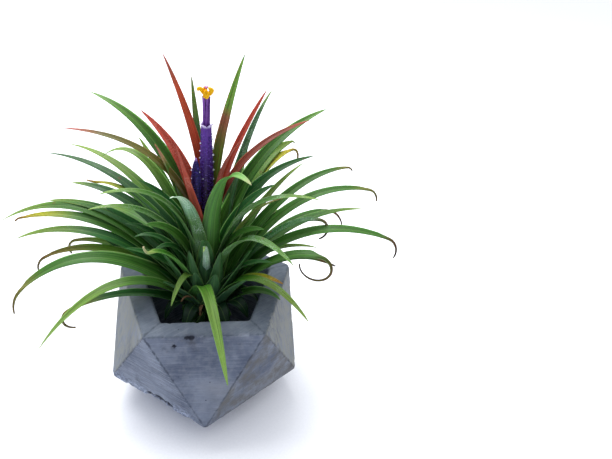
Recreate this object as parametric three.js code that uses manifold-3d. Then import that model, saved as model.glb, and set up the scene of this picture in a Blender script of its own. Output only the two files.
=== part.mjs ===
// An air plant with red inner leaves and a violet flower, standing in a small faceted concrete pot.
// Millimetres, +Z up. The origin is the centre of the pot's foot, on the surface that it stands on.
import * as THREE from 'three';
import { ConvexGeometry } from 'three/addons/geometries/ConvexGeometry.js';
import { mergeVertices } from 'three/addons/utils/BufferGeometryUtils.js';
import Module from 'manifold-3d';

const wasm = await Module();
wasm.setup();

// How finely round pieces are faceted.
const ROUND_SIDES = 12;
const TUBE_SIDES = 18;
const BUD_SIDES = 14;
const THREAD_SIDES = 6;
const EDGE_BALL_SIDES = 8;
const GRAIN_SIDES = 6;
const GRAIN_RINGS = 5;

// Pot: a pentagonal antiprism with a small foot. Radii are measured to the corners.
const CORNER_ANGLE = 72;
const RIM_RADIUS = 42.5;
const RIM_HEIGHT = 59;
const RING_RADIUS = 46.5;
const RING_HEIGHT = 14;
const FOOT_RADIUS = 23.8;
const EDGE_ROUNDING = 1;
const MOUTH_RADIUS = 31.9;
const CAVITY_FLOOR_RADIUS = 24;
const CAVITY_FLOOR_HEIGHT = 22;
const RIM_FIRST_CORNER = 18;
const RING_FIRST_CORNER = 54;

// Clearance between pieces that touch or stand in each other.
const GAP = 0.3;
const RED_LEAF_CLEARANCE = 0.9;

// Dry base: a woody stump on the cavity floor. Each dry root has an angle and a reach, and runs
// through points given as a share of that reach and a height over the floor.
const DRY_BASE_TOP = 34;
const STUMP_RADIUS = 6;
const STUMP_WAIST_RADIUS = 5;
const STUMP_WAIST_HEIGHT = 5;
const STUMP_TOP_RADIUS = 4.4;
const DRY_ROOT_RADIUS = 0.8;
const DRY_ROOT_STEPS = 5;
const DRY_ROOTS = [[20, 15], [95, 12.5], [150, 10], [215, 15], [290, 12.5], [335, 10]];
const DRY_ROOT_LINE = [[0.15, 7], [0.55, 4.5], [1, 1]];

// Plant: a short stem with a thicker crown that carries the leaves, and a red heart over it.
const STEM_RADIUS = 4.2;
const CROWN_RADIUS = 7;
const CROWN_BOTTOM = 48;
const CROWN_TOP = 58;
const STEM_TOP = 76;
const HEART_BOTTOM = STEM_TOP + GAP;
const HEART_RADIUS = 2.9;
const HEART_NECK = 88;
const HEART_SHOULDER = 92;
const HEART_TOP = 96;
const HEART_TOP_RADIUS = 4.2;
const HEART_LEAN = -1.4;
const LEAF_ROOT_RADIUS = 3;
const INNER_ROOT_RADIUS = 4.9;

// How high on the stem the green leaves of each tier are rooted, from the lowest tier up.
const MOUTH = 36;
const RIM = 40;
const LOW = 44;
const MIDDLE = 48;
const HIGH = 53;
const TOP = 58;

// Leaf blade: a shallow channel, thickest along its middle, that narrows to its tip.
const ROOT_THICKNESS = 1.4;
const TIP_THICKNESS = 0.9;
const TIP_WIDTH = 0.9;
const CHANNEL_DEPTH = 0.22;
const TAPER_POWER = 0.52;
const GREEN_SHEATH = 0.75;
const RED_SHEATH = 0.15;
const SHEATH_LENGTH = 0.24;
const LEAF_BREADTH = 1.14;
const BLADE_STEPS = 7;
const CURL_STEP_DEGREES = 45;

// Flower: a tube whose petals part and flare at its mouth.
const FLOWER_BASE = HEART_TOP + GAP;
const FLOWER_TOP = 136.5;
const TUBE_FOOT_RADIUS = 2;
const TUBE_RADIUS = 2.7;
const TUBE_WIDEST_FROM = FLOWER_BASE + 8;
const TUBE_WIDEST_TO = FLOWER_BASE + 20;
const TUBE_NECK_RADIUS = 2.3;
const TUBE_NECK_HEIGHT = FLOWER_TOP - 5;
const PETAL_BEND_RADIUS = 2.6;
const PETAL_BEND_HEIGHT = FLOWER_TOP - 2.2;
const PETAL_FLARE_RADIUS = 3.6;
const PETAL_FLARE_HEIGHT = FLOWER_TOP - 1;
const PETAL_LIP_RADIUS = 3.4;
const THROAT_RADIUS = 1.9;
const THROAT_FLOOR_RADIUS = 1.6;
const THROAT_TOP = FLOWER_TOP - 1.2;
const THROAT_FLOOR = FLOWER_TOP - 7;

// Six filaments on a small plate, an anther over each, and the stigma's lobes above them.
const FILAMENT_COUNT = 6;
const FILAMENT_RADIUS = 0.38;
const FILAMENT_RING_RADIUS = 0.95;
const FILAMENT_TOP = 147;
const FILAMENT_SINK = 0.5;
const PLATE_RADIUS = 1.3;
const PLATE_THICKNESS = 1;
const ANTHER_LENGTH = 3.4;
const ANTHER_RADIUS = 0.75;
const ANTHER_OUT = 1.1;
const ANTHER_LIFT = 1;
const ANTHER_STAGGER = 0.45;
const ANTHER_TILTS = [-35, 25];
const STIGMA_HEIGHT = 1.6;
const STIGMA_STALK_RADIUS = 0.4;
const STIGMA_LOBE_OUT = 0.5;
const STIGMA_LOBE_LENGTH = 1.43;
const STIGMA_LOBE_THICKNESS = 0.88;
const STIGMA_LOBE_ANGLES = [0, 120, 240];

// Bud: radii of its outline, each at a share of its height.
const BUD_X = -4.7;
const BUD_Y = -2.9;
const BUD_TOP = 124;
const BUD_OUTLINE = [[0, 0], [1.2, 0], [1.7, 0.3], [2, 0.62], [1.5, 0.84], [0.6, 0.97], [0, 1]];

// The leaves, outermost first. Angles are degrees round the stem, counter-clockwise from +X, seen from
// above. Lengths are mm: the height of the root, then how far out and how high the blade's middle and
// its tip are, and its width, which LEAF_BREADTH scales. A dry tip may go on by a length, turning by
// some degrees.
const leaf = (angle, root, midOut, midHeight, tipOut, tipHeight, width, curlLength = 0, curlTurn = 0) =>
  ({ angle, root, midOut, midHeight, tipOut, tipHeight, width, curlLength, curlTurn });

const GREEN_LEAVES = [
  // Short ones in the mouth of the pot.
  leaf(-128, MOUTH, 14, 56, 25, 66, 7),
  leaf(-60, MOUTH, 15, 56, 27, 66, 7),
  leaf(-38, MOUTH, 15, 55, 28, 64, 6),
  leaf(-4, MOUTH, 15, 58, 29, 71, 6),
  leaf(-168, MOUTH, 15, 57, 28, 68, 6),
  leaf(32, MOUTH, 15, 57, 28, 68, 6),
  leaf(78, MOUTH, 15, 57, 28, 68, 6),
  leaf(128, MOUTH, 15, 57, 28, 68, 6),
  // Lowest, over the rim.
  leaf(-155, RIM, 29, 62.5, 57, 66, 5, 16, -170),
  leaf(-152, RIM, 36, 73, 73, 54, 6.5),
  leaf(-168, LOW, 41, 79, 77, 67, 6.2, 9, -70),
  leaf(178, LOW, 36, 74, 70, 72, 4.6, 7, -60),
  leaf(170, RIM, 31, 70, 60, 76, 4, 8, -130),
  leaf(-25, RIM, 23, 65, 43, 64, 5),
  leaf(-34, RIM, 20, 67, 41, 71, 4),
  leaf(-42, RIM, 25, 74, 56, 69, 6.2),
  leaf(-82, LOW, 29, 67, 60, 58, 6.6),
  leaf(-125, LOW, 12, 71, 25, 63, 5),
  leaf(-15, RIM, 26, 74, 54, 80, 4.6, 24, -260),
  leaf(-22, RIM, 27, 75, 54, 87, 3.8, 4, -30),
  leaf(-5, RIM, 22, 74, 49, 82.5, 3.2),
  leaf(-10, RIM, 35, 85, 76, 94, 5, 14, -110),
  leaf(-8, RIM, 24, 82, 45, 96, 4),
  leaf(12, RIM, 33, 81, 74, 91, 4.6),
  leaf(20, RIM, 30, 78, 60, 89, 3.6),
  // Hidden side, over the rim.
  leaf(50, RIM, 34, 70, 72, 64, 5.4),
  leaf(76, RIM, 36, 68, 76, 58, 5.6, 8, -60),
  leaf(102, RIM, 36, 70, 74, 60, 5.4),
  leaf(119, RIM, 34, 72, 74, 64, 5.2),
  leaf(137, RIM, 36, 72, 74, 66, 5.2),
  // Middle.
  leaf(175, LOW, 40, 81, 81, 78, 4.8),
  leaf(172, RIM, 27, 67, 53, 84, 4.4),
  leaf(165, MIDDLE, 47, 85, 95, 76, 5),
  leaf(169, MIDDLE, 39, 82, 78, 86, 4.6, 6, -90),
  leaf(162, MIDDLE, 34, 82.5, 69, 90, 4.4),
  leaf(172, MIDDLE, 18, 78, 35, 88, 5),
  leaf(-172, MIDDLE, 15, 80, 32, 88, 5),
  leaf(-150, MIDDLE, 12, 80, 26, 86, 5),
  leaf(-140, LOW, 15, 77, 29, 90, 3.8),
  leaf(5, RIM, 31, 89, 68, 109, 5, 11, -60),
  leaf(15, LOW, 30, 92, 68, 111, 5, 4, 30),
  leaf(30, LOW, 22, 86, 51, 109, 3.8),
  leaf(20, MIDDLE, 15, 97, 49, 117, 4.8),
  leaf(30, MIDDLE, 18, 92, 44, 112, 4.2),
  leaf(35, MIDDLE, 22, 95, 53, 110, 4.4, 8, -130),
  leaf(40, HIGH, 22, 98, 50, 117, 4.8, 8, -100),
  leaf(62, MIDDLE, 30, 80, 62, 84, 5.2),
  leaf(78, MIDDLE, 28, 82, 58, 84, 5.4),
  leaf(95, LOW, 30, 78, 66, 76, 5.4, 7, -50),
  leaf(110, MIDDLE, 30, 82, 60, 82, 5.2),
  leaf(126, LOW, 32, 78, 68, 78, 5),
  leaf(-90, MIDDLE, 12, 83, 24, 95, 7),
  leaf(-70, LOW, 12, 68, 23, 79, 8.3),
  leaf(-108, LOW, 12, 67, 23, 78, 8.3),
  // Inner.
  leaf(-42, MIDDLE, 18, 90, 46, 93, 5.6),
  leaf(-168, MIDDLE, 18, 93, 46, 104, 4.6),
  leaf(-159, HIGH, 14, 101, 42, 114, 5),
  leaf(165, HIGH, 26, 90, 57, 101, 5.2),
  leaf(159, HIGH, 25, 91, 51, 102, 3.8, 5, 50),
  leaf(154, TOP, 33, 98, 75, 106, 5.2),
  leaf(145, TOP, 34, 96, 76, 105, 4.8),
  leaf(153, TOP, 21, 99, 46, 116, 5.2, 6, -70),
  leaf(135, TOP, 18, 89, 43, 117, 4.8),
  leaf(-19, MIDDLE, 15, 98, 47, 113, 4.8),
  leaf(8, HIGH, 15, 88, 33, 102, 3.8),
  leaf(30, TOP, 21, 110, 59, 134, 5),
  leaf(50, TOP, 20, 101, 30, 126, 4.8),
  leaf(41, TOP, 15, 112, 33, 144, 5.8),
  leaf(65, TOP, 18, 92, 36, 102, 5),
  leaf(88, TOP, 19, 92, 38, 98, 5.2),
  leaf(112, TOP, 18, 92, 36, 103, 5),
  leaf(155, TOP, 17, 115, 50, 140, 8),
];

// Two more green leaves stand close round the heart.
const INMOST_GREEN_LEAVES = [
  leaf(-125, HIGH, 8.5, 95, 21, 114, 6.4),
  leaf(-60, HIGH, 9, 104, 32, 127, 8.4),
];

// The red leaves are rooted on the heart.
const RED_LEAVES = [
  leaf(15, 80, 13, 114, 43, 136, 6),
  leaf(175, 80, 18, 115, 53, 131, 5.8),
  leaf(-20, 92, 6, 118, 12, 133, 5),
  leaf(172, 80, 11.5, 106, 20, 127, 4.6),
  leaf(156, 82, 9.5, 113, 28, 137, 10.5),
  leaf(20, 82, 9.5, 117, 24, 149, 7.4),
  leaf(32, 86, 6, 124, 16, 161, 6),
  leaf(130, 86, 7, 123, 26, 157, 6.4),
  leaf(112, 88, 7, 121, 12, 151, 4.4),
];

const MATERIALS = {
  concrete: new THREE.MeshStandardMaterial({ color: 0x7f858d, roughness: 0.92 }),
  driedBase: new THREE.MeshStandardMaterial({ color: 0x6b5138, roughness: 0.9 }),
  greenLeaf: new THREE.MeshStandardMaterial({ color: 0x5f8646, roughness: 0.62 }),
  redLeaf: new THREE.MeshStandardMaterial({ color: 0x99493a, roughness: 0.58 }),
  violet: new THREE.MeshStandardMaterial({ color: 0x3f2a6c, roughness: 0.5 }),
  filament: new THREE.MeshStandardMaterial({ color: 0x5c3882, roughness: 0.5 }),
  pollen: new THREE.MeshStandardMaterial({ color: 0xd2a41e, roughness: 0.85 }),
  stigma: new THREE.MeshStandardMaterial({ color: 0xd9b7c0, roughness: 0.6 }),
  bud: new THREE.MeshStandardMaterial({ color: 0x33265f, roughness: 0.5 }),
};

const radians = THREE.MathUtils.degToRad;

// A three.js geometry as a manifold solid.
function solidOf(geometry) {
  const bare = geometry.clone();
  bare.deleteAttribute('normal');
  bare.deleteAttribute('uv');
  const merged = mergeVertices(bare, 1e-4);
  return new wasm.Manifold(new wasm.Mesh({
    numProp: 3,
    vertProperties: Float32Array.from(merged.attributes.position.array),
    triVerts: Uint32Array.from(merged.index.array),
  }));
}

// A manifold solid as a three.js geometry.
function geometryOf(solid) {
  const mesh = solid.getMesh();
  const geometry = new THREE.BufferGeometry();
  geometry.setAttribute('position', new THREE.BufferAttribute(mesh.vertProperties, 3));
  geometry.setIndex(new THREE.BufferAttribute(mesh.triVerts, 1));
  geometry.computeVertexNormals();
  return geometry;
}

// The largest body of a solid, without the loose scraps of a cut.
function largestBody(solid) {
  return solid.decompose().reduce((best, piece) => (piece.volume() > best.volume() ? piece : best));
}

function fuse(solids) {
  return solids.reduce((sum, solid) => sum.add(solid));
}

function meshNamed(name, geometry, material) {
  const mesh = new THREE.Mesh(geometry, material);
  mesh.name = name;
  return mesh;
}

// A solid of revolution about Z, from [radius, height] points that start and end on the axis.
function turned(profile, sides) {
  const points = profile.map(([radius, height]) => new THREE.Vector2(radius, height));
  return new THREE.LatheGeometry(points, sides).rotateX(Math.PI / 2);
}

// A point at a distance from the axis, at an angle in degrees round it.
function pointAt(angle, out, height) {
  return new THREE.Vector3(out * Math.cos(radians(angle)), out * Math.sin(radians(angle)), height);
}

function pentagon(radius, height, firstCorner) {
  return [0, 1, 2, 3, 4].map((corner) => pointAt(firstCorner + corner * CORNER_ANGLE, radius, height));
}

// The hull of the corners, each one a small ball, so that every edge is rounded.
function roundedHull(corners, rounding) {
  const sphere = new THREE.SphereGeometry(rounding, EDGE_BALL_SIDES, EDGE_BALL_SIDES / 2);
  const ball = sphere.rotateX(Math.PI / 2).attributes.position;
  const points = [];
  for (const corner of corners) {
    for (let index = 0; index < ball.count; index += 1) {
      points.push(new THREE.Vector3().fromBufferAttribute(ball, index).add(corner));
    }
  }
  return new ConvexGeometry(points);
}

function makePot() {
  const inset = EDGE_ROUNDING / Math.cos(radians(CORNER_ANGLE / 2));
  const outside = roundedHull([
    ...pentagon(RIM_RADIUS - inset, RIM_HEIGHT - EDGE_ROUNDING, RIM_FIRST_CORNER),
    ...pentagon(RING_RADIUS - inset, RING_HEIGHT, RING_FIRST_CORNER),
    ...pentagon(FOOT_RADIUS - inset, EDGE_ROUNDING, RING_FIRST_CORNER),
  ], EDGE_ROUNDING);
  const wallSlope = (MOUTH_RADIUS - CAVITY_FLOOR_RADIUS) / (RIM_HEIGHT - CAVITY_FLOOR_HEIGHT);
  const overshoot = 5;
  const cavity = new ConvexGeometry([
    ...pentagon(MOUTH_RADIUS + wallSlope * overshoot, RIM_HEIGHT + overshoot, RIM_FIRST_CORNER),
    ...pentagon(CAVITY_FLOOR_RADIUS, CAVITY_FLOOR_HEIGHT, RIM_FIRST_CORNER),
  ]);
  return geometryOf(solidOf(outside).subtract(solidOf(cavity)));
}

// The blade's centre line: a parabola through its middle, then the arc of its dry tip.
function leafPath({ angle, root, midOut, midHeight, tipOut, tipHeight, curlLength, curlTurn }, rootOut) {
  const start = new THREE.Vector2(rootOut, root);
  const tip = new THREE.Vector2(tipOut, tipHeight);
  const middle = new THREE.Vector2(midOut, midHeight);
  const control = middle.multiplyScalar(2).sub(start.clone().add(tip).multiplyScalar(0.5));
  const outline = new THREE.QuadraticBezierCurve(start, control, tip).getPoints(BLADE_STEPS);
  if (curlLength > 0) {
    const steps = Math.max(2, Math.ceil(Math.abs(curlTurn) / CURL_STEP_DEGREES));
    const heading = tip.clone().sub(control).normalize();
    const here = tip.clone();
    for (let step = 0; step < steps; step += 1) {
      heading.rotateAround(new THREE.Vector2(), radians(curlTurn / steps));
      here.addScaledVector(heading, curlLength / steps);
      outline.push(here.clone());
    }
  }
  return outline.map((point) => pointAt(angle, point.x, point.y));
}

// A closed blade along its path. Extra thickness swells it on every side.
function makeLeaf(shape, { sheath = GREEN_SHEATH, rootOut = LEAF_ROOT_RADIUS, extra = 0 } = {}) {
  const path = leafPath(shape, rootOut);
  const side = pointAt(shape.angle + 90, 1, 0);
  const fullWidth = shape.width * LEAF_BREADTH;
  const lengths = [0];
  for (let step = 1; step < path.length; step += 1) {
    lengths.push(lengths[step - 1] + path[step].distanceTo(path[step - 1]));
  }
  const total = lengths[lengths.length - 1];
  if (extra > 0) {
    const last = path.length - 1;
    path[last].addScaledVector(path[last].clone().sub(path[last - 1]).normalize(), extra);
    path[0].addScaledVector(path[0].clone().sub(path[1]).normalize(), extra);
  }
  const corners = [];
  path.forEach((point, step) => {
    const along = lengths[step] / total;
    const before = path[Math.max(step - 1, 0)];
    const after = path[Math.min(step + 1, path.length - 1)];
    const heading = after.clone().sub(before).normalize();
    const up = heading.clone().cross(side).normalize();
    const taper = (1 - along) ** TAPER_POWER + sheath * Math.exp(-((along / SHEATH_LENGTH) ** 2));
    const width = TIP_WIDTH + (fullWidth - TIP_WIDTH) * taper;
    const halfWidth = width / 2 + extra;
    const fold = CHANNEL_DEPTH * (width - TIP_WIDTH) * (halfWidth / (width / 2));
    const rib = THREE.MathUtils.lerp(ROOT_THICKNESS, TIP_THICKNESS, along) / 2 + extra;
    const section = [[halfWidth, fold], [0, rib], [-halfWidth, fold], [0, -rib]];
    for (const [across, above] of section) {
      corners.push(point.clone().addScaledVector(side, across).addScaledVector(up, above));
    }
  });
  return loft(corners, path.length);
}

// A closed skin over rings of four corners: edge, upper rib, edge, under rib. The two faces of the
// blade are split along the same diagonals.
function loft(corners, rings) {
  const faces = [];
  for (let ring = 0; ring < rings - 1; ring += 1) {
    for (let corner = 0; corner < 4; corner += 1) {
      const [a, b] = [ring * 4 + corner, ring * 4 + (corner + 1) % 4];
      const [c, d] = [a + 4, b + 4];
      const underSide = corner >= 2;
      faces.push(...(underSide ? [a, b, c, b, d, c] : [a, b, d, a, d, c]));
    }
  }
  const last = (rings - 1) * 4;
  faces.push(0, 3, 1, 1, 3, 2);
  faces.push(last, last + 1, last + 3, last + 1, last + 2, last + 3);
  const geometry = new THREE.BufferGeometry();
  const position = new THREE.Float32BufferAttribute(corners.flatMap((corner) => corner.toArray()), 3);
  geometry.setAttribute('position', position);
  geometry.setIndex(faces);
  return geometry;
}

function makeDryRoot(angle, reach, floor) {
  const line = DRY_ROOT_LINE.map(([share, height]) => pointAt(angle, reach * share, floor + height));
  const section = new THREE.Shape().absarc(0, 0, DRY_ROOT_RADIUS, 0, Math.PI * 2);
  return new THREE.ExtrudeGeometry(section, {
    steps: DRY_ROOT_STEPS,
    curveSegments: THREAD_SIDES / 2,
    bevelEnabled: false,
    extrudePath: new THREE.CatmullRomCurve3(line),
  });
}

// The woody foot of the plant, with short dry roots that spread over the cavity floor.
function makeDryBase() {
  const floor = CAVITY_FLOOR_HEIGHT + GAP;
  const stump = turned([
    [0, floor], [STUMP_RADIUS, floor], [STUMP_WAIST_RADIUS, floor + STUMP_WAIST_HEIGHT],
    [STUMP_TOP_RADIUS, DRY_BASE_TOP], [0, DRY_BASE_TOP],
  ], ROUND_SIDES);
  const roots = DRY_ROOTS.map(([angle, reach]) => makeDryRoot(angle, reach, floor));
  return geometryOf(fuse([stump, ...roots].map(solidOf)));
}

// The heart leans to the side that carries the bud.
function makeHeart(extra) {
  const [bottom, top] = [HEART_BOTTOM - extra, HEART_TOP + extra];
  const [waist, head] = [HEART_RADIUS + extra, HEART_TOP_RADIUS + extra];
  const heart = turned([
    [0, bottom], [waist, bottom], [waist, HEART_NECK], [head, HEART_SHOULDER], [head, top], [0, top],
  ], ROUND_SIDES);
  const position = heart.attributes.position;
  for (let index = 0; index < position.count; index += 1) {
    const share = THREE.MathUtils.smoothstep(position.getZ(index), HEART_NECK, HEART_SHOULDER);
    position.setX(index, position.getX(index) + HEART_LEAN * share);
  }
  return heart;
}

function makeRedHeart(heartExtra, leafExtra) {
  const shapeOf = (shape) => makeLeaf(shape, { sheath: RED_SHEATH, extra: leafExtra });
  return fuse([solidOf(makeHeart(heartExtra)), ...RED_LEAVES.map((shape) => solidOf(shapeOf(shape)))]);
}

function makeGreenRosette(redClearance) {
  const bottom = DRY_BASE_TOP + GAP;
  const stem = turned([
    [0, bottom], [STEM_RADIUS, bottom], [CROWN_RADIUS, CROWN_BOTTOM], [CROWN_RADIUS, CROWN_TOP],
    [STEM_RADIUS, STEM_TOP], [0, STEM_TOP],
  ], ROUND_SIDES);
  const inmostLeaf = (shape) => makeLeaf(shape, { rootOut: INNER_ROOT_RADIUS });
  const leaves = [...GREEN_LEAVES.map((shape) => makeLeaf(shape)), ...INMOST_GREEN_LEAVES.map(inmostLeaf)];
  return fuse([stem, ...leaves].map(solidOf)).subtract(redClearance);
}

// The outside of the flower, from its foot to the lip of its petals, widened where asked.
const corollaOutside = (extra = 0) => [
  [0, FLOWER_BASE],
  [TUBE_FOOT_RADIUS + extra, FLOWER_BASE],
  [TUBE_RADIUS + extra, TUBE_WIDEST_FROM],
  [TUBE_RADIUS + extra, TUBE_WIDEST_TO],
  [TUBE_NECK_RADIUS + extra, TUBE_NECK_HEIGHT],
  [PETAL_BEND_RADIUS + extra, PETAL_BEND_HEIGHT],
  [PETAL_FLARE_RADIUS + extra, PETAL_FLARE_HEIGHT],
  [PETAL_LIP_RADIUS + extra, FLOWER_TOP],
];

function makeCorolla() {
  const throat = [[THROAT_RADIUS, THROAT_TOP], [THROAT_FLOOR_RADIUS, THROAT_FLOOR], [0, THROAT_FLOOR]];
  return turned([...corollaOutside(), ...throat], TUBE_SIDES);
}

function makeFilaments() {
  const foot = THROAT_FLOOR + GAP;
  const plateTop = foot + PLATE_THICKNESS;
  const plateOutline = [[0, foot], [PLATE_RADIUS, foot], [PLATE_RADIUS, plateTop], [0, plateTop]];
  const plate = turned(plateOutline, ROUND_SIDES);
  const threadFoot = plateTop - FILAMENT_SINK;
  const height = FILAMENT_TOP - threadFoot;
  const threads = [];
  for (let index = 0; index < FILAMENT_COUNT; index += 1) {
    const centre = pointAt((index * 360) / FILAMENT_COUNT, FILAMENT_RING_RADIUS, threadFoot + height / 2);
    const thread = new THREE.CylinderGeometry(FILAMENT_RADIUS, FILAMENT_RADIUS, height, THREAD_SIDES);
    threads.push(thread.rotateX(Math.PI / 2).translate(centre.x, centre.y, centre.z));
  }
  return geometryOf(fuse([plate, ...threads].map(solidOf)));
}

// A small rounded grain that lies along X.
function makeGrain(length, thickness) {
  return new THREE.SphereGeometry(0.5, GRAIN_SIDES, GRAIN_RINGS).scale(length, thickness, thickness);
}

// The anthers touch and lean into one cluster, cut level just over the filaments.
function makeAnthers() {
  const bottom = FILAMENT_TOP + GAP;
  const bodies = [];
  for (let index = 0; index < FILAMENT_COUNT; index += 1) {
    const anther = makeGrain(ANTHER_LENGTH, ANTHER_RADIUS * 2);
    anther.rotateY(radians(ANTHER_TILTS[index % 2]));
    anther.translate(ANTHER_OUT, 0, bottom + ANTHER_LIFT + (index % 3) * ANTHER_STAGGER);
    anther.rotateZ((index / FILAMENT_COUNT) * Math.PI * 2);
    bodies.push(anther);
  }
  const size = ANTHER_LENGTH * 4;
  const block = new THREE.BoxGeometry(size, size, size).translate(0, 0, bottom - size / 2);
  return fuse(bodies.map(solidOf)).subtract(solidOf(block));
}

// The stigma's three lobes show just above the anthers.
function makeStigma(bottom) {
  const top = bottom + STIGMA_HEIGHT;
  const outline = [[0, bottom], [STIGMA_STALK_RADIUS, bottom], [STIGMA_STALK_RADIUS, top], [0, top]];
  const lobes = STIGMA_LOBE_ANGLES.map((angle) => {
    const lobe = makeGrain(STIGMA_LOBE_LENGTH, STIGMA_LOBE_THICKNESS).translate(STIGMA_LOBE_OUT, 0, top);
    return lobe.rotateZ(radians(angle));
  });
  return fuse([turned(outline, THREAD_SIDES), ...lobes].map(solidOf));
}

function makeBud(extra = 0) {
  const height = BUD_TOP - FLOWER_BASE;
  const outline = BUD_OUTLINE.map(([radius, share]) => [radius > 0 ? radius + extra : 0, share * height]);
  return turned(outline, BUD_SIDES).translate(BUD_X, BUD_Y, FLOWER_BASE);
}

// The room that the flower and its bud take among the red leaves.
function makeFlowerClearance() {
  const tube = turned([...corollaOutside(GAP), [0, FLOWER_TOP]], TUBE_SIDES);
  return solidOf(tube).add(solidOf(makeBud(GAP)));
}

const plant = new THREE.Group();
const redHeart = largestBody(makeRedHeart(0, 0).subtract(makeFlowerClearance()));
const greenRosette = largestBody(makeGreenRosette(makeRedHeart(GAP, RED_LEAF_CLEARANCE)));
const anthers = makeAnthers();
plant.add(meshNamed('dry_base', makeDryBase(), MATERIALS.driedBase));
plant.add(meshNamed('green_leaves', geometryOf(greenRosette), MATERIALS.greenLeaf));
plant.add(meshNamed('red_leaves', geometryOf(redHeart), MATERIALS.redLeaf));
plant.add(meshNamed('flower_tube', makeCorolla(), MATERIALS.violet));
plant.add(meshNamed('filaments', makeFilaments(), MATERIALS.filament));
plant.add(meshNamed('anthers', geometryOf(anthers), MATERIALS.pollen));
plant.add(meshNamed('stigma', geometryOf(makeStigma(anthers.boundingBox().max[2] + GAP)), MATERIALS.stigma));
plant.add(meshNamed('bud', makeBud(), MATERIALS.bud));

const airPlantInPot = new THREE.Group();
airPlantInPot.add(meshNamed('pot', makePot(), MATERIALS.concrete));
airPlantInPot.add(plant);

export default airPlantInPot;
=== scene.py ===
# An air plant with red inner leaves and a violet flower, standing in a faceted concrete pot.
# Sizes in the tables and named values are millimetres, which MM turns into Blender's metres, and
# angles are degrees. Seen from the front, X runs to the right, Y to the back and Z up.
import math

import bmesh
import bpy
import numpy as np
from mathutils import Matrix, Vector, noise


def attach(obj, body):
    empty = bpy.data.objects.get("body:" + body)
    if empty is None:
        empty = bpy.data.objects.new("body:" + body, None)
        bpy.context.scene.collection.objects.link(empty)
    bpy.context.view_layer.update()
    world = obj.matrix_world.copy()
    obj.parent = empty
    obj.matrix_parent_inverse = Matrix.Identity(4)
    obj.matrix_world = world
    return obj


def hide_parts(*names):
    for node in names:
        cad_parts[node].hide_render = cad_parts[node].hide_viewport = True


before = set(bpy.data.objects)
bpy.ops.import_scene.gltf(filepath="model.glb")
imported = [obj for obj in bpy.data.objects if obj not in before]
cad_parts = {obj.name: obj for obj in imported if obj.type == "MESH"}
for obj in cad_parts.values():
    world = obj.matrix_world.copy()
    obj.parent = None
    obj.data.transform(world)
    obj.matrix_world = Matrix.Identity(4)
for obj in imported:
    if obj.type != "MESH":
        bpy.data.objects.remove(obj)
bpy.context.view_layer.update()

MM = 0.001
BODY = "root"

# Camera: its place, where it looks and the angle of view.
CAMERA_PLACE = (3.5, -189.3, 216.5)
CAMERA_ELEVATION = 33.4
CAMERA_AZIMUTH = -12.0
CAMERA_ROLL = 7.1
SENSOR_WIDTH = 36.0
FOCAL_LENGTH = 30.4
NEAREST_SEEN = 5.0

# Soft light of the room. A side light has its axis (X, Y or Z as 0, 1 or 2), where on that axis it
# sets in and is full, and its colour: from the front's right, from behind and from overhead.
FRONT_LIGHT = (0.15, 0.23, 0.5, 1)
SIDE_LIGHTS = (
    (0, -0.1, 0.8, (0.28, 0.28, 0.3, 1)),
    (1, -0.75, 0.35, (1.0, 1.0, 1.02, 1)),
    (2, 0.35, 0.9, (1.3, 1.32, 1.38, 1)),
)
LAMP_PLACE = (-160.0, 300.0, 700.0)
LAMP_AIM = (0.0, 0.0, 70.0)
LAMP_SIZE = 500.0
LAMP_POWER = 7.0
FLOOR_HALF_WIDTH = 4000.0

# Pot: a pentagonal antiprism on a small foot. Radii are measured to the corners.
POT_SIDES = 5
CORNER_ANGLE = 360 / POT_SIDES
RIM_RADIUS = 42.5
RIM_HEIGHT = 59.0
RING_RADIUS = 46.5
RING_HEIGHT = 14.0
FOOT_RADIUS = 23.8
MOUTH_RADIUS = 31.9
CAVITY_FLOOR_RADIUS = 24.0
CAVITY_FLOOR_HEIGHT = 22.0
RIM_FIRST_CORNER = 18.0
RING_FIRST_CORNER = 54.0
POT_CORE = Vector((0, 0, RIM_HEIGHT / 3))
CAVITY_MIDDLE = Vector((0, 0, (CAVITY_FLOOR_HEIGHT + RIM_HEIGHT) / 2))
MERGE_DISTANCE = 0.001
EDGE_ROUNDING = 0.8
EDGE_SEGMENTS = 3
POT_GRID = 0.72
# Its cast surface. A layer of noise has a height, a fineness and a seed.
POT_SEED = Vector((3.7, 11.2, 5.9))
SWELL_LAYERS = ((0.16, 0.07, POT_SEED), (0.07, 0.35, POT_SEED))
WEAR_LAYERS = ((1.0, 0.13, POT_SEED * 2), (0.5, 0.6, POT_SEED))
HIGHEST_SWELL = 0.12
FLAT_FOOT_HEIGHT = 1.0
# Chips at the edges: the wear at which they start and are whole, how far from an edge they reach and
# how deep. More wear is added low on the pot, and it fades out between two heights over the ring.
CHIP_WEAR = (0.3, 0.62)
CHIP_REACH = (0.1, 1.7)
CHIP_DEPTH = 0.6
LOW_WEAR = 0.16
LOW_WEAR_BAND = (2.0, 9.0)
# The rough lower edge at the front left: its ends, how far and how deep the wear reaches, and the
# wear at which it starts and is whole.
WORN_EDGE = ((-44.2, -14.4, 14.0), (-9.6, -39.5, 14.0))
WORN_REACH = (0.5, 9.0)
WORN_DEPTH = 0.9
WORN_WEAR = (0.0, 0.5)
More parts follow.
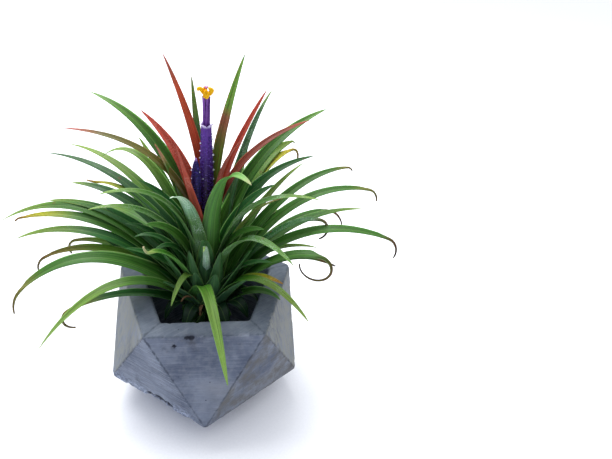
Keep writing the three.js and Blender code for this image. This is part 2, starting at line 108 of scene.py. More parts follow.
# Air voids and broken spots in the cast surface: place, radius and depth. The wall of each runs
# between two shares of its radius.
POT_VOIDS = (
    ((-5.8, -34.6, 58.0), 1.9, 1.3),
    ((-7.6, -34.8, 58.2), 1.4, 0.8),
    ((-12.6, -35.6, 54.4), 1.1, 0.9),
    ((-24.6, -28.4, 15.7), 3.2, 1.4),
    ((-20.4, -31.4, 15.9), 4.0, 1.8),
    ((-16.4, -34.3, 15.7), 3.0, 1.5),
    ((24.5, -32.6, 58.0), 1.0, 0.6),
    ((31.0, 22.0, 40.0), 1.3, 0.9),
    ((-30.0, 25.0, 33.0), 1.1, 0.8),
    ((12.0, 36.5, 49.0), 1.4, 0.9),
)
VOID_WALL = (0.45, 1.1)
# Mould marks: their strength on the smoother facets and how far apart the facets lie in the pattern.
# A facet's middle tells which one it is: to the right of the middle line by so much, or within so much
# of it. A facet looks up where its normal rises by more than the last value.
SMOOTH_FACET_MARKS = 0.35
FACET_SHIFT = 10.0
RIGHT_FACET_FROM = 5.0
FRONT_FACET_WITHIN = 2.0
UPWARD_NORMAL = 0.2

# Plant: the stem with its crown, the red heart, and where the leaves root.
STEM_BOTTOM = 34.3
STEM_RADIUS = 4.2
STEM_TOP = 76.0
CROWN_BOTTOM = 48.0
CROWN_TOP = 58.0
CROWN_RADIUS = 7.0
STEM_OUTLINE = (
    (STEM_RADIUS, STEM_BOTTOM), (CROWN_RADIUS * 0.85, CROWN_BOTTOM - 5), (CROWN_RADIUS, CROWN_BOTTOM),
    (CROWN_RADIUS, CROWN_TOP), (STEM_RADIUS + 1, CROWN_TOP + 8), (STEM_RADIUS, STEM_TOP),
)
HEART_TOP = 96.0
HEART_RADIUS = 2.9
HEART_TOP_RADIUS = 4.2
HEART_OUTLINE = (
    (HEART_RADIUS, STEM_TOP), (HEART_RADIUS, HEART_TOP - 8), (HEART_TOP_RADIUS * 0.94, HEART_TOP - 5),
    (HEART_TOP_RADIUS, HEART_TOP - 3), (HEART_TOP_RADIUS * 0.9, HEART_TOP),
)
HEART_LEAN = -1.4
HEART_LEAN_BAND = (HEART_TOP - 8, HEART_TOP - 4)
CORE_SIDES = 32
LEAF_ROOT_RADIUS = 3.0
INNER_ROOT_RADIUS = 4.9
INNER_LEAF_ROOT = 80.0
# How high on the stem the green leaves of each tier are rooted, from the lowest tier up.
MOUTH, RIM, LOW, MIDDLE, HIGH, TOP = 36.0, 40.0, 44.0, 48.0, 53.0, 58.0
# A leaf's line: the steps of its blade and of its dry curl. The solid under it curls in coarse steps.
BLADE_STEPS = 40
CURL_STEP_DEGREES = 12.0
LEAST_CURL_STEPS = 6
COARSE_CURL_DEGREES = 45.0
LEAST_COARSE_STEPS = 2
CURL_LEAD_RISE = 5.0
ROLLED_WIDTHS = (2.0, 0.75)
# What differs from leaf to leaf: the twist of its blade and of its curl in degrees, and its sway to
# the side, with how much of a wave it makes and where in the wave it starts.
LEAF_SEED = 41
BLADE_TWIST = 16.0
CURL_TWIST = 70.0
SWAY = (0.35, 0.9)
SWAY_WAVE = (2.5, 5.0)
SWAY_START = (0.0, 6.0)
# Painted shade towards a leaf's root, partly its own deeper colour: its factor on the tone and how far
# along the leaf it reaches.
PAINTED_ROOT_SHADE = ((0.5, 0.72, 0.58, 1), 0.5)
PAINTED_INNER_ROOT_SHADE = ((0.8, 0.7, 0.7, 1), 0.25)

# Dry base under the leaves: a stump and wiry dead roots, and a few scraps of dry leaf. A pair of
# values for the roots gives the least and the most.
CAVITY_SURFACE = 22.3
STUMP_OUTLINE = ((5.6, 22.3), (6.0, 23.2), (5.4, 26.0), (5.0, 29.0), (4.6, 33.0), (4.2, 34.0))
STUMP_SIDES = 40
ROOT_SEED = 7
DRY_ROOT_COUNT = 36
DRY_ROOT_SPREAD = 9.0
DRY_ROOT_REACH = (6.0, 13.0)
DRY_ROOT_START = (25.0, 33.0)
DRY_ROOT_BEND = 32.0
DRY_ROOT_RADIUS = (0.28, 0.6)
DRY_ROOT_STEPS = 22
# Scraps of dry leaf near the crown: angle, distance from the stem and height of each point.
DRY_SCRAPS = (
    ((-100, 6, 50), (-100, 11, 54), (-100, 15.4, 56.9), (-99, 16.6, 53.5)),
    ((-120, 6, 52), (-122, 11, 58), (-125, 15.9, 61.6), (-127, 18.0, 60.0)),
    ((-108, 6.5, 46), (-106, 12, 50), (-100, 15.5, 54.6), (-97, 14.2, 57.6)),
)
SCRAP_RADII = (0.75, 0.3)
SCRAP_STEPS = 18

# Flower and bud, each rolled from three petals. An outline gives radius and height over the foot, and
# a drop of dew its angle, its height over the foot and its radius.
FLOWER_BASE = 96.3
TUBE = {
    "slot": "flower_tube", "place": (0, 0), "height": 39.7, "lip": 2.3, "twist": 12.0,
    "outline": ((1.8, 0), (2.3, 5), (2.5, 12), (2.5, 20), (2.25, 28), (1.95, 34), (1.85, 38), (1.85, 44)),
    "drops": (
        (-14, 35.0, 0.4), (-6, 31.0, 0.44), (-12, 28.2, 0.46), (-4, 25.0, 0.36), (-10, 21.6, 0.4),
        (-6, 17.4, 0.34), (188, 33.0, 0.3), (184, 29.6, 0.36), (192, 26.8, 0.3), (-68, 9.6, 0.24),
        (-118, 18.4, 0.24), (70, 25.0, 0.3), (110, 14.0, 0.28), (140, 30.0, 0.26), (40, 19.0, 0.32),
    ),
}
BUD = {
    "slot": "bud", "place": (-4.1, -2.9), "height": 27.7, "lip": 0, "twist": 95.0,
    "outline": (
        (1.0, 0), (1.3, 5), (1.5, 11), (1.6, 17), (1.45, 21.5), (1.0, 24.8), (0.5, 26.8), (0.05, 27.7),
    ),
    "drops": ((176, 22.4, 0.34), (-26, 22.0, 0.24), (196, 19.0, 0.26), (150, 14.0, 0.28), (60, 18.0, 0.26)),
}
OUTLINE_EASING = (-1.6, -0.8, 0, 0.8, 1.6)
PETAL_ANGLES = (205.0, 325.0, 85.0)
PETAL_HALF_ANGLE = 76.0
PETAL_GRID = (72, 17)
PETAL_THICKNESS = 0.2
PETAL_OVERLAP = 0.17
LIP_ROUNDING = 2.0
PETAL_TIP_LENGTH = 1.5
BLUNT_TIP = 0.998
# The petals' scales: rows of small round beads, their radii, how far each stands out and how far it
# is moved round, and the part of the height that they cover.
BEAD_SEED = 23
BEAD_ROWS = 22
BEADS_IN_ROW = 30
BEAD_RADIUS = (0.16, 0.34)
BEAD_LIFT = 0.12
BEAD_SPREAD = 4.0
BEADS_FROM = 0.06
BEADS_SHARE = 0.88
# Filaments: they rise in a ring that twists and widens a little, and each is a bit wavy.
FILAMENT_COUNT = 6
FILAMENT_STEPS = 24
FILAMENT_FOOT = 130.4
FILAMENT_TOP = 148.9
FILAMENT_RADIUS = 0.5
FILAMENT_TAPER = 0.15
FILAMENT_RING_RADII = (0.84, 1.16)
FILAMENT_FIRST_ANGLE = 15.0
FILAMENT_TWIST = 35.0
FILAMENT_STAGGER = 0.4
FILAMENT_WAVE = 0.05
# Each anther's line over the filaments' tops: to the right, to the back and up.
ANTHER_STEPS = 22
ANTHER_RADIUS = 0.78
ANTHER_TIP_SHARE = 0.12
ANTHER_FULLNESS = 0.32
ANTHERS = (
    ((-0.9, -0.3, 0.0), (-1.4, -0.5, 1.2), (-2.1, -0.7, 2.2), (-2.8, -0.8, 2.2), (-3.1, -0.7, 1.5)),
    ((0.2, -0.9, 2.1), (-0.2, -1.2, 1.3), (-0.5, -1.4, 0.2), (-0.8, -1.4, -0.8)),
    ((0.9, -0.5, 0.0), (1.4, -0.8, 0.5), (1.8, -0.8, 1.4), (1.5, -0.7, 2.3), (0.7, -0.5, 2.5)),
    ((1.1, 0.6, -0.3), (1.7, 0.7, 0.4), (2.1, 0.6, 1.3), (1.9, 0.4, 2.2)),
    ((0.6, -1.0, 1.5), (0.7, -1.4, 0.7), (0.3, -1.5, -0.3), (0.1, -1.4, -1.2)),
    ((-0.5, 0.9, -0.1), (-0.8, 1.3, 0.8), (-0.5, 1.4, 1.8), (0.3, 1.2, 2.3)),
)
# Stigma: its lobes, and how far out and how high over its top each point of a lobe is.
STIGMA_TOP = 151.3
STIGMA_LOBES = 3
STIGMA_FIRST_ANGLE = 30.0
STYLE_MIDDLE = 0.1
STYLE_RADIUS = 0.32
LOBE_LINE = ((0.25, 0.3), (0.5, 0.35), (0.62, 0.1))
LOBE_RADIUS = 0.34
LOBE_STEPS = 8


def srgb(red, green, blue):
    """The linear colour of an 8-bit sRGB one."""
    return tuple((value / 255) ** 2.2 for value in (red, green, blue)) + (1.0,)


# Leaf colours by name. A tip runs through two colours, and the two shares say where along it each
# of them is reached.
TONES = {
    # The deep and shade greens, for leaves in the pot's mouth and round the stem, are partly the leaves'
    # own dark colour and partly painted shade.
    "deep": srgb(24, 48, 30),
    "shade": srgb(42, 88, 48),
    "dark": srgb(36, 86, 36),
    "green": srgb(60, 103, 38),
    "bright": srgb(66, 124, 36),
    "lime": srgb(98, 138, 46),
    "olive": srgb(94, 116, 44),
    "silver": srgb(66, 116, 70),
    "blue": srgb(46, 82, 46),
    "pale": srgb(100, 136, 58),
    # The frost tone is partly silvery scales and partly a painted highlight.
    "frost_and_sheen": srgb(146, 180, 148),
    "red": srgb(168, 64, 48),
    "scarlet": srgb(178, 72, 42),
    "rust": srgb(112, 54, 40),
    "bronze": srgb(88, 92, 40),
    "rose": srgb(152, 70, 60),
}
TIPS = {
    "lime": (srgb(92, 120, 44), srgb(118, 142, 62), 0.45, 1),
    "pale": (srgb(98, 130, 54), srgb(122, 152, 74), 0.45, 1),
    "silver": (srgb(120, 164, 128), srgb(182, 208, 176), 0.3, 0.8),
    "brown": (srgb(116, 110, 48), srgb(96, 56, 34), 0.45, 1),
    "pink": (srgb(176, 146, 104), srgb(190, 128, 104), 0.3, 0.7),
    "amber": (srgb(162, 158, 44), srgb(150, 96, 48), 0.6, 1),
    "straw": (srgb(146, 168, 88), srgb(206, 192, 148), 0.45, 1),
    "char": (srgb(104, 64, 38), srgb(48, 32, 24), 0.45, 1),
    "rust": (srgb(140, 72, 52), srgb(158, 74, 62), 0.4, 1),
    "green": (srgb(80, 122, 46), srgb(102, 140, 66), 0.45, 1),
    "band": (srgb(138, 80, 60), srgb(94, 146, 52), 0.3, 0.42),
    # In fold, the first, pale green colour is a painted highlight on the leaf's bend; the second is its
    # straw tip.
    "fold": (srgb(118, 164, 90), srgb(162, 162, 114), 0.6, 1),
}
DRY_TIPS = {"brown", "pink", "amber", "straw", "char"}


def leaf(angle, root, mid_out, mid_height, tip_out, tip_height, width, tone, tip="", share=0.0,
         curl=0.0, turn=0.0, bloom_and_sheen=0.03, twist=0.0, roll=0.0, aside=0.0):
    """One leaf: its angle round the stem in degrees, the height of its root, how far out and how high its
    middle and tip are, its width, its colour, the share that its tip's colours take, the length and turn of
    its dry curl, how silvery it is from its grey scales and from painted sheen, how far its face turns near
    its root and its tip, and how far its root stands to the side."""
    return {"angle": angle, "root": root, "middle": (mid_out, mid_height), "end": (tip_out, tip_height),
            "width": width, "tone": tone, "tip": tip, "share": share, "curl": curl, "turn": turn,
            "bloom_and_sheen": bloom_and_sheen, "twist": twist, "roll": roll, "aside": aside}


GREEN_LEAVES = [
    # Broad dark ones in the mouth of the pot; the tone named shade is partly painted shade.
    leaf(-172, MOUTH, 15, 57, 28, 68, 9, "dark", "brown", 0.12),
    leaf(-152, MOUTH, 11, 60, 22, 86, 14, "dark"),
    leaf(-124, MOUTH, 10, 60, 12, 84, 14, "dark"),
    leaf(-94, MOUTH, 8.5, 62, 9, 84, 14, "shade"),
    leaf(-60, MOUTH, 10, 60, 12, 84, 14, "dark"),
    leaf(-30, MOUTH, 11, 60, 22, 86, 14, "dark"),
    leaf(-4, MOUTH, 15, 58, 29, 70, 9, "dark"),
    leaf(20, MOUTH, 14, 57, 28, 66, 10, "shade"),
    leaf(45, MOUTH, 15, 57, 28, 67, 9, "dark"),
    leaf(70, MOUTH, 14, 57, 28, 66, 10, "shade"),
    leaf(95, MOUTH, 15, 57, 28, 68, 9, "dark", "straw", 0.1),
    leaf(120, MOUTH, 14, 57, 28, 66, 10, "shade"),
    leaf(148, MOUTH, 15, 57, 28, 67, 9, "dark"),
    # Broad ones round the stem, several in the tone named shade, which is partly painted shade.
    leaf(-136, MOUTH, 13, 58, 25, 74, 12, "shade"),
    leaf(-108, MOUTH, 10, 58, 16, 77, 12, "shade"),
    leaf(-76, MOUTH, 10, 58, 16, 76, 12, "shade"),
    leaf(-46, MOUTH, 13, 58, 25, 75, 12, "shade"),
    leaf(-90, MIDDLE, 10, 82, 17, 94, 11, "dark"),
    # A thin pale strip before it, in a frost tone that is partly silvery scales and partly a painted
    # highlight.
    leaf(-91, MIDDLE, 13, 84, 25, 95, 4.2, "frost_and_sheen", "lime", 0.08, bloom_and_sheen=1.0),
    leaf(-30, LOW, 14, 70, 31, 82, 10, "dark"),
    leaf(-163, LOW, 15, 71, 34, 86, 10, "dark"),
    leaf(-30, MIDDLE, 11, 84, 27, 98, 10.5, "green", twist=20),
    leaf(-158, MIDDLE, 11, 84, 26, 98, 10.5, "green", twist=-20),
    leaf(10, HIGH, 11, 90, 29, 108, 9, "dark", twist=22),
    leaf(166, HIGH, 11, 90, 29, 108, 9, "dark", twist=-22),
    # Lowest, over the rim.
    leaf(-155, RIM, 29, 62.5, 59.5, 65.5, 7, "dark", "brown", 0.3, 13, -135),
    leaf(-152, RIM, 36, 73, 73, 54, 7, "green", "pale", 0.5, twist=-8),
    leaf(-168, LOW, 41, 78.5, 76, 68.5, 8.6, "green", "brown", 0.18, 12, -38, twist=-18),
    leaf(178, LOW, 36, 74, 69, 72, 6.5, "lime", "brown", 0.34, 8, -50, twist=-12),
    leaf(170, RIM, 31, 70, 58, 76, 5.8, "lime", "brown", 0.2, 9, -85, twist=-12),
    leaf(-25, RIM, 21, 60, 36, 60.5, 8.5, "green"),
    leaf(-34, RIM, 19, 69, 39, 76, 7, "bright", "amber", 0.38, twist=10),
    leaf(-42, RIM, 25, 74, 56, 69, 6.6, "bright", "lime", 0.5, bloom_and_sheen=0.2),
    leaf(-81.5, LOW, 24, 74, 60, 58, 6.4, "bright", "pale", 0.6, aside=-6.5),
    leaf(-125, LOW, 12, 71, 25, 63, 5, "lime", "pale", 0.7),
    leaf(-15, RIM, 26, 73, 50, 81.5, 7, "green", "char", 0.12, 8, -10, twist=10),
    leaf(-22, RIM, 27, 76, 51, 87.5, 7.5, "green", "char", 0.2, 30, -245, twist=12),
    leaf(-5, RIM, 22, 74, 49, 82, 5.5, "bright", "lime", 0.3, twist=8),
    leaf(-10, RIM, 35, 87, 79, 93, 7.6, "green", "char", 0.02, 11, -75, twist=12),
    leaf(-8, RIM, 24, 83, 48, 98, 6.6, "dark", "char", 0.05, 14, -140, bloom_and_sheen=0.25, twist=10),
    leaf(12, RIM, 33, 81, 75, 91, 7.5, "green", "lime", 0.15, twist=14),
    leaf(20, RIM, 30, 77, 61, 86, 6.2, "green", "char", 0.08, 16, -55, twist=10),
    # Far side, over the rim.
    leaf(50, RIM, 34, 70, 72, 64, 8.5, "green", "lime", 0.3),
    leaf(76, RIM, 36, 68, 76, 58, 8.5, "green", "brown", 0.12, 8, -60),
    leaf(102, RIM, 36, 70, 74, 60, 8.5, "dark", "straw", 0.1),
    leaf(119, RIM, 34, 72, 74, 64, 8, "green", "pink", 0.15),
    leaf(137, RIM, 36, 72, 74, 66, 8, "green", "lime", 0.25),
    # Middle.
    leaf(175, LOW, 40, 81, 81, 78, 7.2, "dark", "lime", 0.3, twist=-14),
    leaf(172, RIM, 27, 67, 53, 84, 8, "dark", "lime", 0.1, twist=-10),
    leaf(165, MIDDLE, 46, 87, 95, 76.5, 8.4, "green", "lime", 0.25, twist=-16),
    leaf(169, MIDDLE, 40, 83, 81, 84, 7.2, "green", "amber", 0.24, 4, -30, twist=-14),
    leaf(162, MIDDLE, 34, 83, 73, 89, 7.5, "dark", "lime", 0.2, twist=-14),
    leaf(172, MIDDLE, 18, 78, 35, 88, 8.5, "dark", twist=-12),
    leaf(-172, MIDDLE, 15, 80, 30, 87, 7, "dark", twist=-14),
    leaf(-150, MIDDLE, 12, 80, 24, 85, 7.5, "dark", twist=-16),
    leaf(-140, LOW, 15, 77, 29, 90, 8.5, "bright", "straw", 0.08, 5, 60, twist=-14),
    leaf(5, RIM, 32, 94.5, 72, 106.5, 7.2, "green", "brown", 0.02, 8, -60, twist=14),
    leaf(15, LOW, 30, 95.5, 66, 111.5, 7, "green", "brown", 0.03, 3, -40, twist=14),
    leaf(30, LOW, 22, 86, 51, 109, 6, "green", "lime", 0.45, twist=12),
    leaf(20, MIDDLE, 15, 97, 50, 116.5, 7.8, "dark", twist=14),
    leaf(30, MIDDLE, 18, 92, 42, 110, 6.4, "blue", bloom_and_sheen=0.2, twist=14),
    leaf(35, MIDDLE, 20, 93, 44, 108, 6.2, "dark", "lime", 0.1, twist=12),
    leaf(38, HIGH, 22, 98, 48, 114, 7.5, "green", "amber", 0.42, 10, -95, twist=12),
    leaf(42, HIGH, 23, 101, 52, 116, 9.6, "pale", "lime", 0.2, 3, -40, twist=14),
    leaf(62, MIDDLE, 30, 80, 62, 84, 8.5, "green", "brown", 0.08),
    leaf(78, MIDDLE, 28, 82, 58, 84, 8.5, "dark", "lime", 0.2),
    leaf(95, LOW, 30, 78, 66, 76, 8.5, "green", "pink", 0.15, 7, -50),
    leaf(110, MIDDLE, 30, 82, 60, 82, 8, "green", "straw", 0.1),
    leaf(126, LOW, 32, 78, 68, 78, 8, "bright", "lime", 0.3),
    # Inner.
    leaf(-42, MIDDLE, 18, 90, 46, 93, 8.6, "green", "green", 0.25, bloom_and_sheen=0.5),
    leaf(-168, MIDDLE, 18, 93, 46, 104, 7, "green", "pale", 0.15, bloom_and_sheen=0.25, twist=-12),
    leaf(-159, HIGH, 14, 101, 42, 114, 7.4, "green", "pale", 0.15, bloom_and_sheen=0.2, twist=-12),
    leaf(165, HIGH, 27, 91, 59, 101, 7.8, "blue", "lime", 0.06, twist=-14),
    leaf(159, HIGH, 25, 91, 50, 101, 6, "green", "amber", 0.2, 5, 10, twist=-10),
    leaf(154, TOP, 33, 97.5, 78, 106, 6.6, "blue", twist=-14),
    leaf(145, TOP, 34, 97, 77, 106, 6.4, "green", "lime", 0.5, twist=-14),
    leaf(153, TOP, 24, 110, 50, 111, 6.8, "green", "pale", 0.5, twist=-16),
    leaf(135, TOP, 18, 89, 43, 117, 7, "green", "lime", 0.2, twist=-12),
    leaf(-19, MIDDLE, 15, 98, 47, 113, 8, "green", "pale", 0.15, bloom_and_sheen=0.45, twist=8),
    leaf(8, HIGH, 15, 88, 33, 102, 5.6, "olive", "brown", 0.1),
    leaf(30, TOP, 21, 110, 60, 134.5, 8.5, "green", "green", 0.15, twist=16),
    leaf(50, TOP, 20, 101, 30, 126, 7, "pale", "pale", 0.2),
    leaf(41, TOP, 17.5, 112, 36, 143.5, 6.4, "blue", "lime", 0.05, bloom_and_sheen=0.3, twist=12),
    leaf(65, TOP, 18, 92, 36, 102, 7.5, "green", "lime", 0.1),
    leaf(88, TOP, 19, 92, 38, 98, 7.5, "green", "lime", 0.2),
    leaf(112, TOP, 18, 92, 36, 103, 7.5, "dark", "lime", 0.1),
    leaf(155, TOP, 17, 115, 50, 140, 10.6, "green", "green", 0.2, twist=-12),
]
INMOST_GREEN_LEAVES = [
    leaf(-128, HIGH, 9.5, 98, 21.5, 114, 12, "green", "silver", 0.27, bloom_and_sheen=0.7, twist=10, roll=26),
    # Its pale fold tip is partly a painted highlight.
    leaf(-57, HIGH, 9.3, 110, 30, 125, 11.6, "bright", "fold", 0.1, bloom_and_sheen=0.05, twist=8, roll=14),
]
# Low ones that fill the front of the mouth, in the deep green that is partly painted shade.
MOUTH_LEAVES = [
    leaf(-144, MOUTH, 14, 55, 23, 49, 11, "deep"),
    leaf(-118, MOUTH, 12, 54, 21, 47, 11, "deep"),
    leaf(-64, MOUTH, 12, 54, 21, 47, 11, "deep"),
    leaf(-38, MOUTH, 14, 55, 23, 49, 11, "deep"),
    leaf(-16, MOUTH, 14, 56, 25, 53, 11, "deep"),
]
RED_LEAVES = [
    leaf(15, 80, 13, 116, 43, 136, 4.9, "rust", "rust", 0.1, twist=14),
    leaf(175, 80, 18, 118.5, 53, 131.5, 5.2, "bronze", "rust", 0.1, twist=-16),
    leaf(-18, 92, 6.5, 117, 14, 132.5, 7, "rose", bloom_and_sheen=0.3),
    leaf(172, 80, 11.5, 106, 20, 127, 6.6, "bright", "pink", 0.14, twist=-16),
    leaf(156, 82, 9.5, 113, 28, 137, 8.4, "red", bloom_and_sheen=0.7, twist=-22),
    leaf(20, 82, 9.5, 117, 24, 149, 5.4, "red", bloom_and_sheen=0.25, twist=12),
    leaf(32, 86, 6, 124, 16, 162, 7.6, "olive", "band", 0.43, twist=10),
    leaf(130, 86, 5, 123, 26, 157, 5.3, "scarlet", "rust", 0.12, twist=-10),
    leaf(113, 88, 7, 119, 14.5, 151, 5, "silver", "green", 0.3, bloom_and_sheen=0.25),
    # A bract in front of the bud.
    leaf(-143, 86, 9, 111, 13.5, 131, 8, "red", bloom_and_sheen=0.7, aside=1),
]


class Graph:
    """Adds nodes to a tree. A value that is a socket is linked, and any other is set on the node."""

    def __init__(self, tree):
        self.tree = tree

    def node(self, kind, values=None, **settings):
        made = self.tree.nodes.new(kind)
        for name, value in settings.items():
            setattr(made, name, value)
        for key, value in (values or {}).items():
            if isinstance(value, bpy.types.NodeSocket):
                self.tree.links.new(value, made.inputs[key])
            else:
                made.inputs[key].default_value = value
        return made

    def math(self, operation, first, second=0.0, clamp=False):
        values = {0: first, 1: second}
        return self.node("ShaderNodeMath", values, operation=operation, use_clamp=clamp).outputs[0]

    def add(self, first, second):
        return self.math("ADD", first, second)

    def times(self, first, second):
        return self.math("MULTIPLY", first, second)

    def mix(self, share, first, second):
        return self.add(first, self.times(share, self.math("SUBTRACT", second, first)))

    def move(self, operation, first, second):
        return self.node("ShaderNodeVectorMath", {0: first, 1: second}, operation=operation).outputs[0]

    def stretch(self, vector, factor):
        return self.node("ShaderNodeVectorMath", {0: vector, "Scale": factor}, operation="SCALE").outputs[0]

    def combine(self, x, y, z):
        return self.node("ShaderNodeCombineXYZ", {0: x, 1: y, 2: z}).outputs[0]

    def step(self, value, low, high, start=0.0, end=1.0):
        """A smooth step from start to end while the value goes from low to high."""
        values = {"Value": value, "From Min": low, "From Max": high, "To Min": start, "To Max": end}
        return self.node("ShaderNodeMapRange", values, interpolation_type="SMOOTHSTEP").outputs[0]

    def noise(self, place, scale, detail, roughness=0.55):
        values = {"Vector": place, "Scale": scale, "Detail": detail, "Roughness": roughness}
        return self.node("ShaderNodeTexNoise", values).outputs[0]

    def cells(self, place, scale):
        """Distance from the nearest point of a field of scattered points, in cell sizes."""
        return self.node("ShaderNodeTexVoronoi", {"Vector": place, "Scale": scale}).outputs["Distance"]

    def blend(self, share, first, second):
        """Mixes two colours."""
        values = {0: share, 6: first, 7: second}
        return self.node("ShaderNodeMix", values, data_type="RGBA").outputs[2]

    def tint(self, colour, pattern, new, low, high, start=0.0, end=1.0, where=None):
        """Mixes a new colour in by a smooth step of a pattern, and by a mask where there is one."""
        share = self.step(pattern, low, high, start, end)
        return self.blend(share if where is None else self.times(share, where), colour, new)


class Surface(Graph):
    """A material: its node tree, with what its patterns read."""

    def __init__(self, name, **constants):
        self.material = bpy.data.materials.new(name)
        self.material.use_nodes = True
        super().__init__(self.material.node_tree)
        self.shader = self.tree.nodes["Principled BSDF"]
        for key, value in constants.items():
            self.shader.inputs[key.replace("_", " ")].default_value = value
        self.place = self.node("ShaderNodeTexCoord").outputs["Object"]

    def attribute(self, name, output="Fac"):
        return self.node("ShaderNodeAttribute", attribute_name=name).outputs[output]

    def finish(self, colour, roughness, height, bump, distance):
        """Links the pattern to the shader, with relief of that strength, and reach in millimetres."""
        relief = {"Strength": bump, "Distance": distance * MM, "Height": height}
        self.tree.links.new(colour, self.shader.inputs["Base Color"])
        self.tree.links.new(roughness, self.shader.inputs["Roughness"])
        self.tree.links.new(self.node("ShaderNodeBump", relief).outputs[0], self.shader.inputs["Normal"])
        return self.material


class Builder(Graph):
    """A Geometry Nodes tree with named inputs, and the plain mesh that it makes."""

    KINDS = {float: "NodeSocketFloat", int: "NodeSocketInt"}

    def __init__(self, name, **sizes):
        super().__init__(bpy.data.node_groups.new(name, "GeometryNodeTree"))
        self.tree.is_modifier = True
        sockets = self.tree.interface
        sockets.new_socket("Geometry", in_out="INPUT", socket_type="NodeSocketGeometry")
        sockets.new_socket("Geometry", in_out="OUTPUT", socket_type="NodeSocketGeometry")
        self.sizes = sizes
        self.identifiers = {}
        for key, value in sizes.items():
            kind = self.KINDS[type(value)]
            socket = sockets.new_socket(key.replace("_", " "), in_out="INPUT", socket_type=kind)
            self.identifiers[key] = socket.identifier
        self.start = self.node("NodeGroupInput")

    def size(self, key):
        return self.start.outputs[key.replace("_", " ")]

    def named(self, name, kind="FLOAT"):
        values = {"Name": name}
        return self.node("GeometryNodeInputNamedAttribute", values, data_type=kind).outputs["Attribute"]

    def store(self, geometry, name, value, kind="FLOAT"):
        values = {"Geometry": geometry, "Name": name, "Value": value}
        return self.node("GeometryNodeStoreNamedAttribute", values, data_type=kind).outputs[0]

    def finish(self, geometry, material):
        """Ends the tree with real geometry, shaded smooth, in its material."""
        geometry = self.node("GeometryNodeRealizeInstances", {0: geometry}).outputs[0]
        geometry = self.node("GeometryNodeSetShadeSmooth", {0: geometry}).outputs[0]
        ready = self.node("GeometryNodeSetMaterial", {0: geometry, "Material": material}).outputs[0]
        self.tree.links.new(ready, self.node("NodeGroupOutput").inputs[0])

    def build(self, name, mesh, material):
        """Runs the tree on a mesh and returns its result as a plain mesh object."""
        piece = add_object(name, mesh)
        modifier = piece.modifiers.new(self.tree.name, "NODES")
        modifier.node_group = self.tree
        for key, identifier in self.identifiers.items():
            modifier[identifier] = self.sizes[key]
        freeze(piece)
        turn_faces_out(piece.data)
        piece.data.materials.clear()
        piece.data.materials.append(material)
        return piece


def add_object(name, data):
    made = bpy.data.objects.new(name, data)
    bpy.context.scene.collection.objects.link(made)
    return made


def freeze(piece):
    """Turns a piece's modifiers into its own plain mesh."""
    shown = piece.evaluated_get(bpy.context.evaluated_depsgraph_get())
    mesh = bpy.data.meshes.new_from_object(shown)
    piece.modifiers.clear()
    piece.data = mesh


def turn_faces_out(mesh):
    shell = bmesh.new()
    shell.from_mesh(mesh)
    bmesh.ops.recalc_face_normals(shell, faces=shell.faces[:])
    shell.to_mesh(mesh)
    shell.free()
    mesh.shade_smooth()


def dress(piece, slot, *nodes):
    """Hands a finished piece to the frame, in place of the named nodes."""
    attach(piece, BODY)
    if nodes:
        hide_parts(*nodes)


def vertex_vectors(vertices, field):
    """One vector of each vertex, as the rows of an array."""
    values = np.empty(len(vertices) * 3, dtype=np.float32)
    vertices.foreach_get(field, values)
    return values.reshape(-1, 3).astype(float)


def store_values(mesh, name, values, kind="FLOAT"):
    """Stores one value for each vertex as a named attribute."""
    layer = mesh.attributes.new(name, kind, "POINT")
    field = {"FLOAT": "value", "FLOAT_VECTOR": "vector", "FLOAT_COLOR": "color"}[kind]
    layer.data.foreach_set(field, np.asarray(values, dtype=np.float32).ravel())


def smooth_step(value, low, high):
    share = np.clip((value - low) / (high - low), 0, 1)
    return share * share * (3 - 2 * share)


def blend(first, second, share):
    """Mixes colours by an array of shares. The first may be one colour or one for each share."""
    return first * (1 - share)[:, None] + np.outer(share, second)


def rotated(vectors, axes, angles):
    """Each vector turned about its axis by its angle."""
    cosine, sine = np.cos(angles)[:, None], np.sin(angles)[:, None]
    return vectors * cosine + np.cross(axes, vectors) * sine


def outwards(angle):
    """The unit vector that points out from the stem at an angle in degrees."""
    return np.array([math.cos(math.radians(angle)), math.sin(math.radians(angle)), 0.0])


def ring_point(angle, radius, height):
    return outwards(angle) * radius + np.array([0, 0, height])


def line_mesh(name, lines):
    """One mesh of open lines from their points in millimetres."""
    edges = []
    total = 0
    for points in lines:
        edges += [(total + step, total + step + 1) for step in range(len(points) - 1)]
        total += len(points)
    mesh = bpy.data.meshes.new(name)
    mesh.from_pydata((np.vstack(lines) * MM).tolist(), edges, [])
    return mesh


def drop_attributes(mesh, *names):
    """Takes away the values that only a tree needed."""
    for name in names:
        if name in mesh.attributes:
            mesh.attributes.remove(mesh.attributes[name])


def turned_mesh(name, outline, sides, lean=None):
    """A closed turned form from radius and height pairs. Its middle may lean along X with height."""
    shell = bmesh.new()
    rings = []
    for radius, height in outline:
        middle = np.array([lean(height) if lean else 0.0, 0, height])
        points = [outwards(360 * side / sides) * radius + middle for side in range(sides)]
        rings.append([shell.verts.new(Vector(point) * MM) for point in points])
    for low, high in zip(rings, rings[1:]):
        for side in range(sides):
            after = (side + 1) % sides
            shell.faces.new((low[side], low[after], high[after], high[side]))
    shell.faces.new(rings[0][::-1])
    shell.faces.new(rings[-1])
    mesh = bpy.data.meshes.new(name)
    shell.to_mesh(mesh)
    shell.free()
    mesh.shade_smooth()
    return mesh


# Pot.

def pentagon(radius, height, first_corner):
    angles = [math.radians(first_corner + corner * CORNER_ANGLE) for corner in range(POT_SIDES)]
    return [Vector((radius * math.cos(a), radius * math.sin(a), height)) for a in angles]


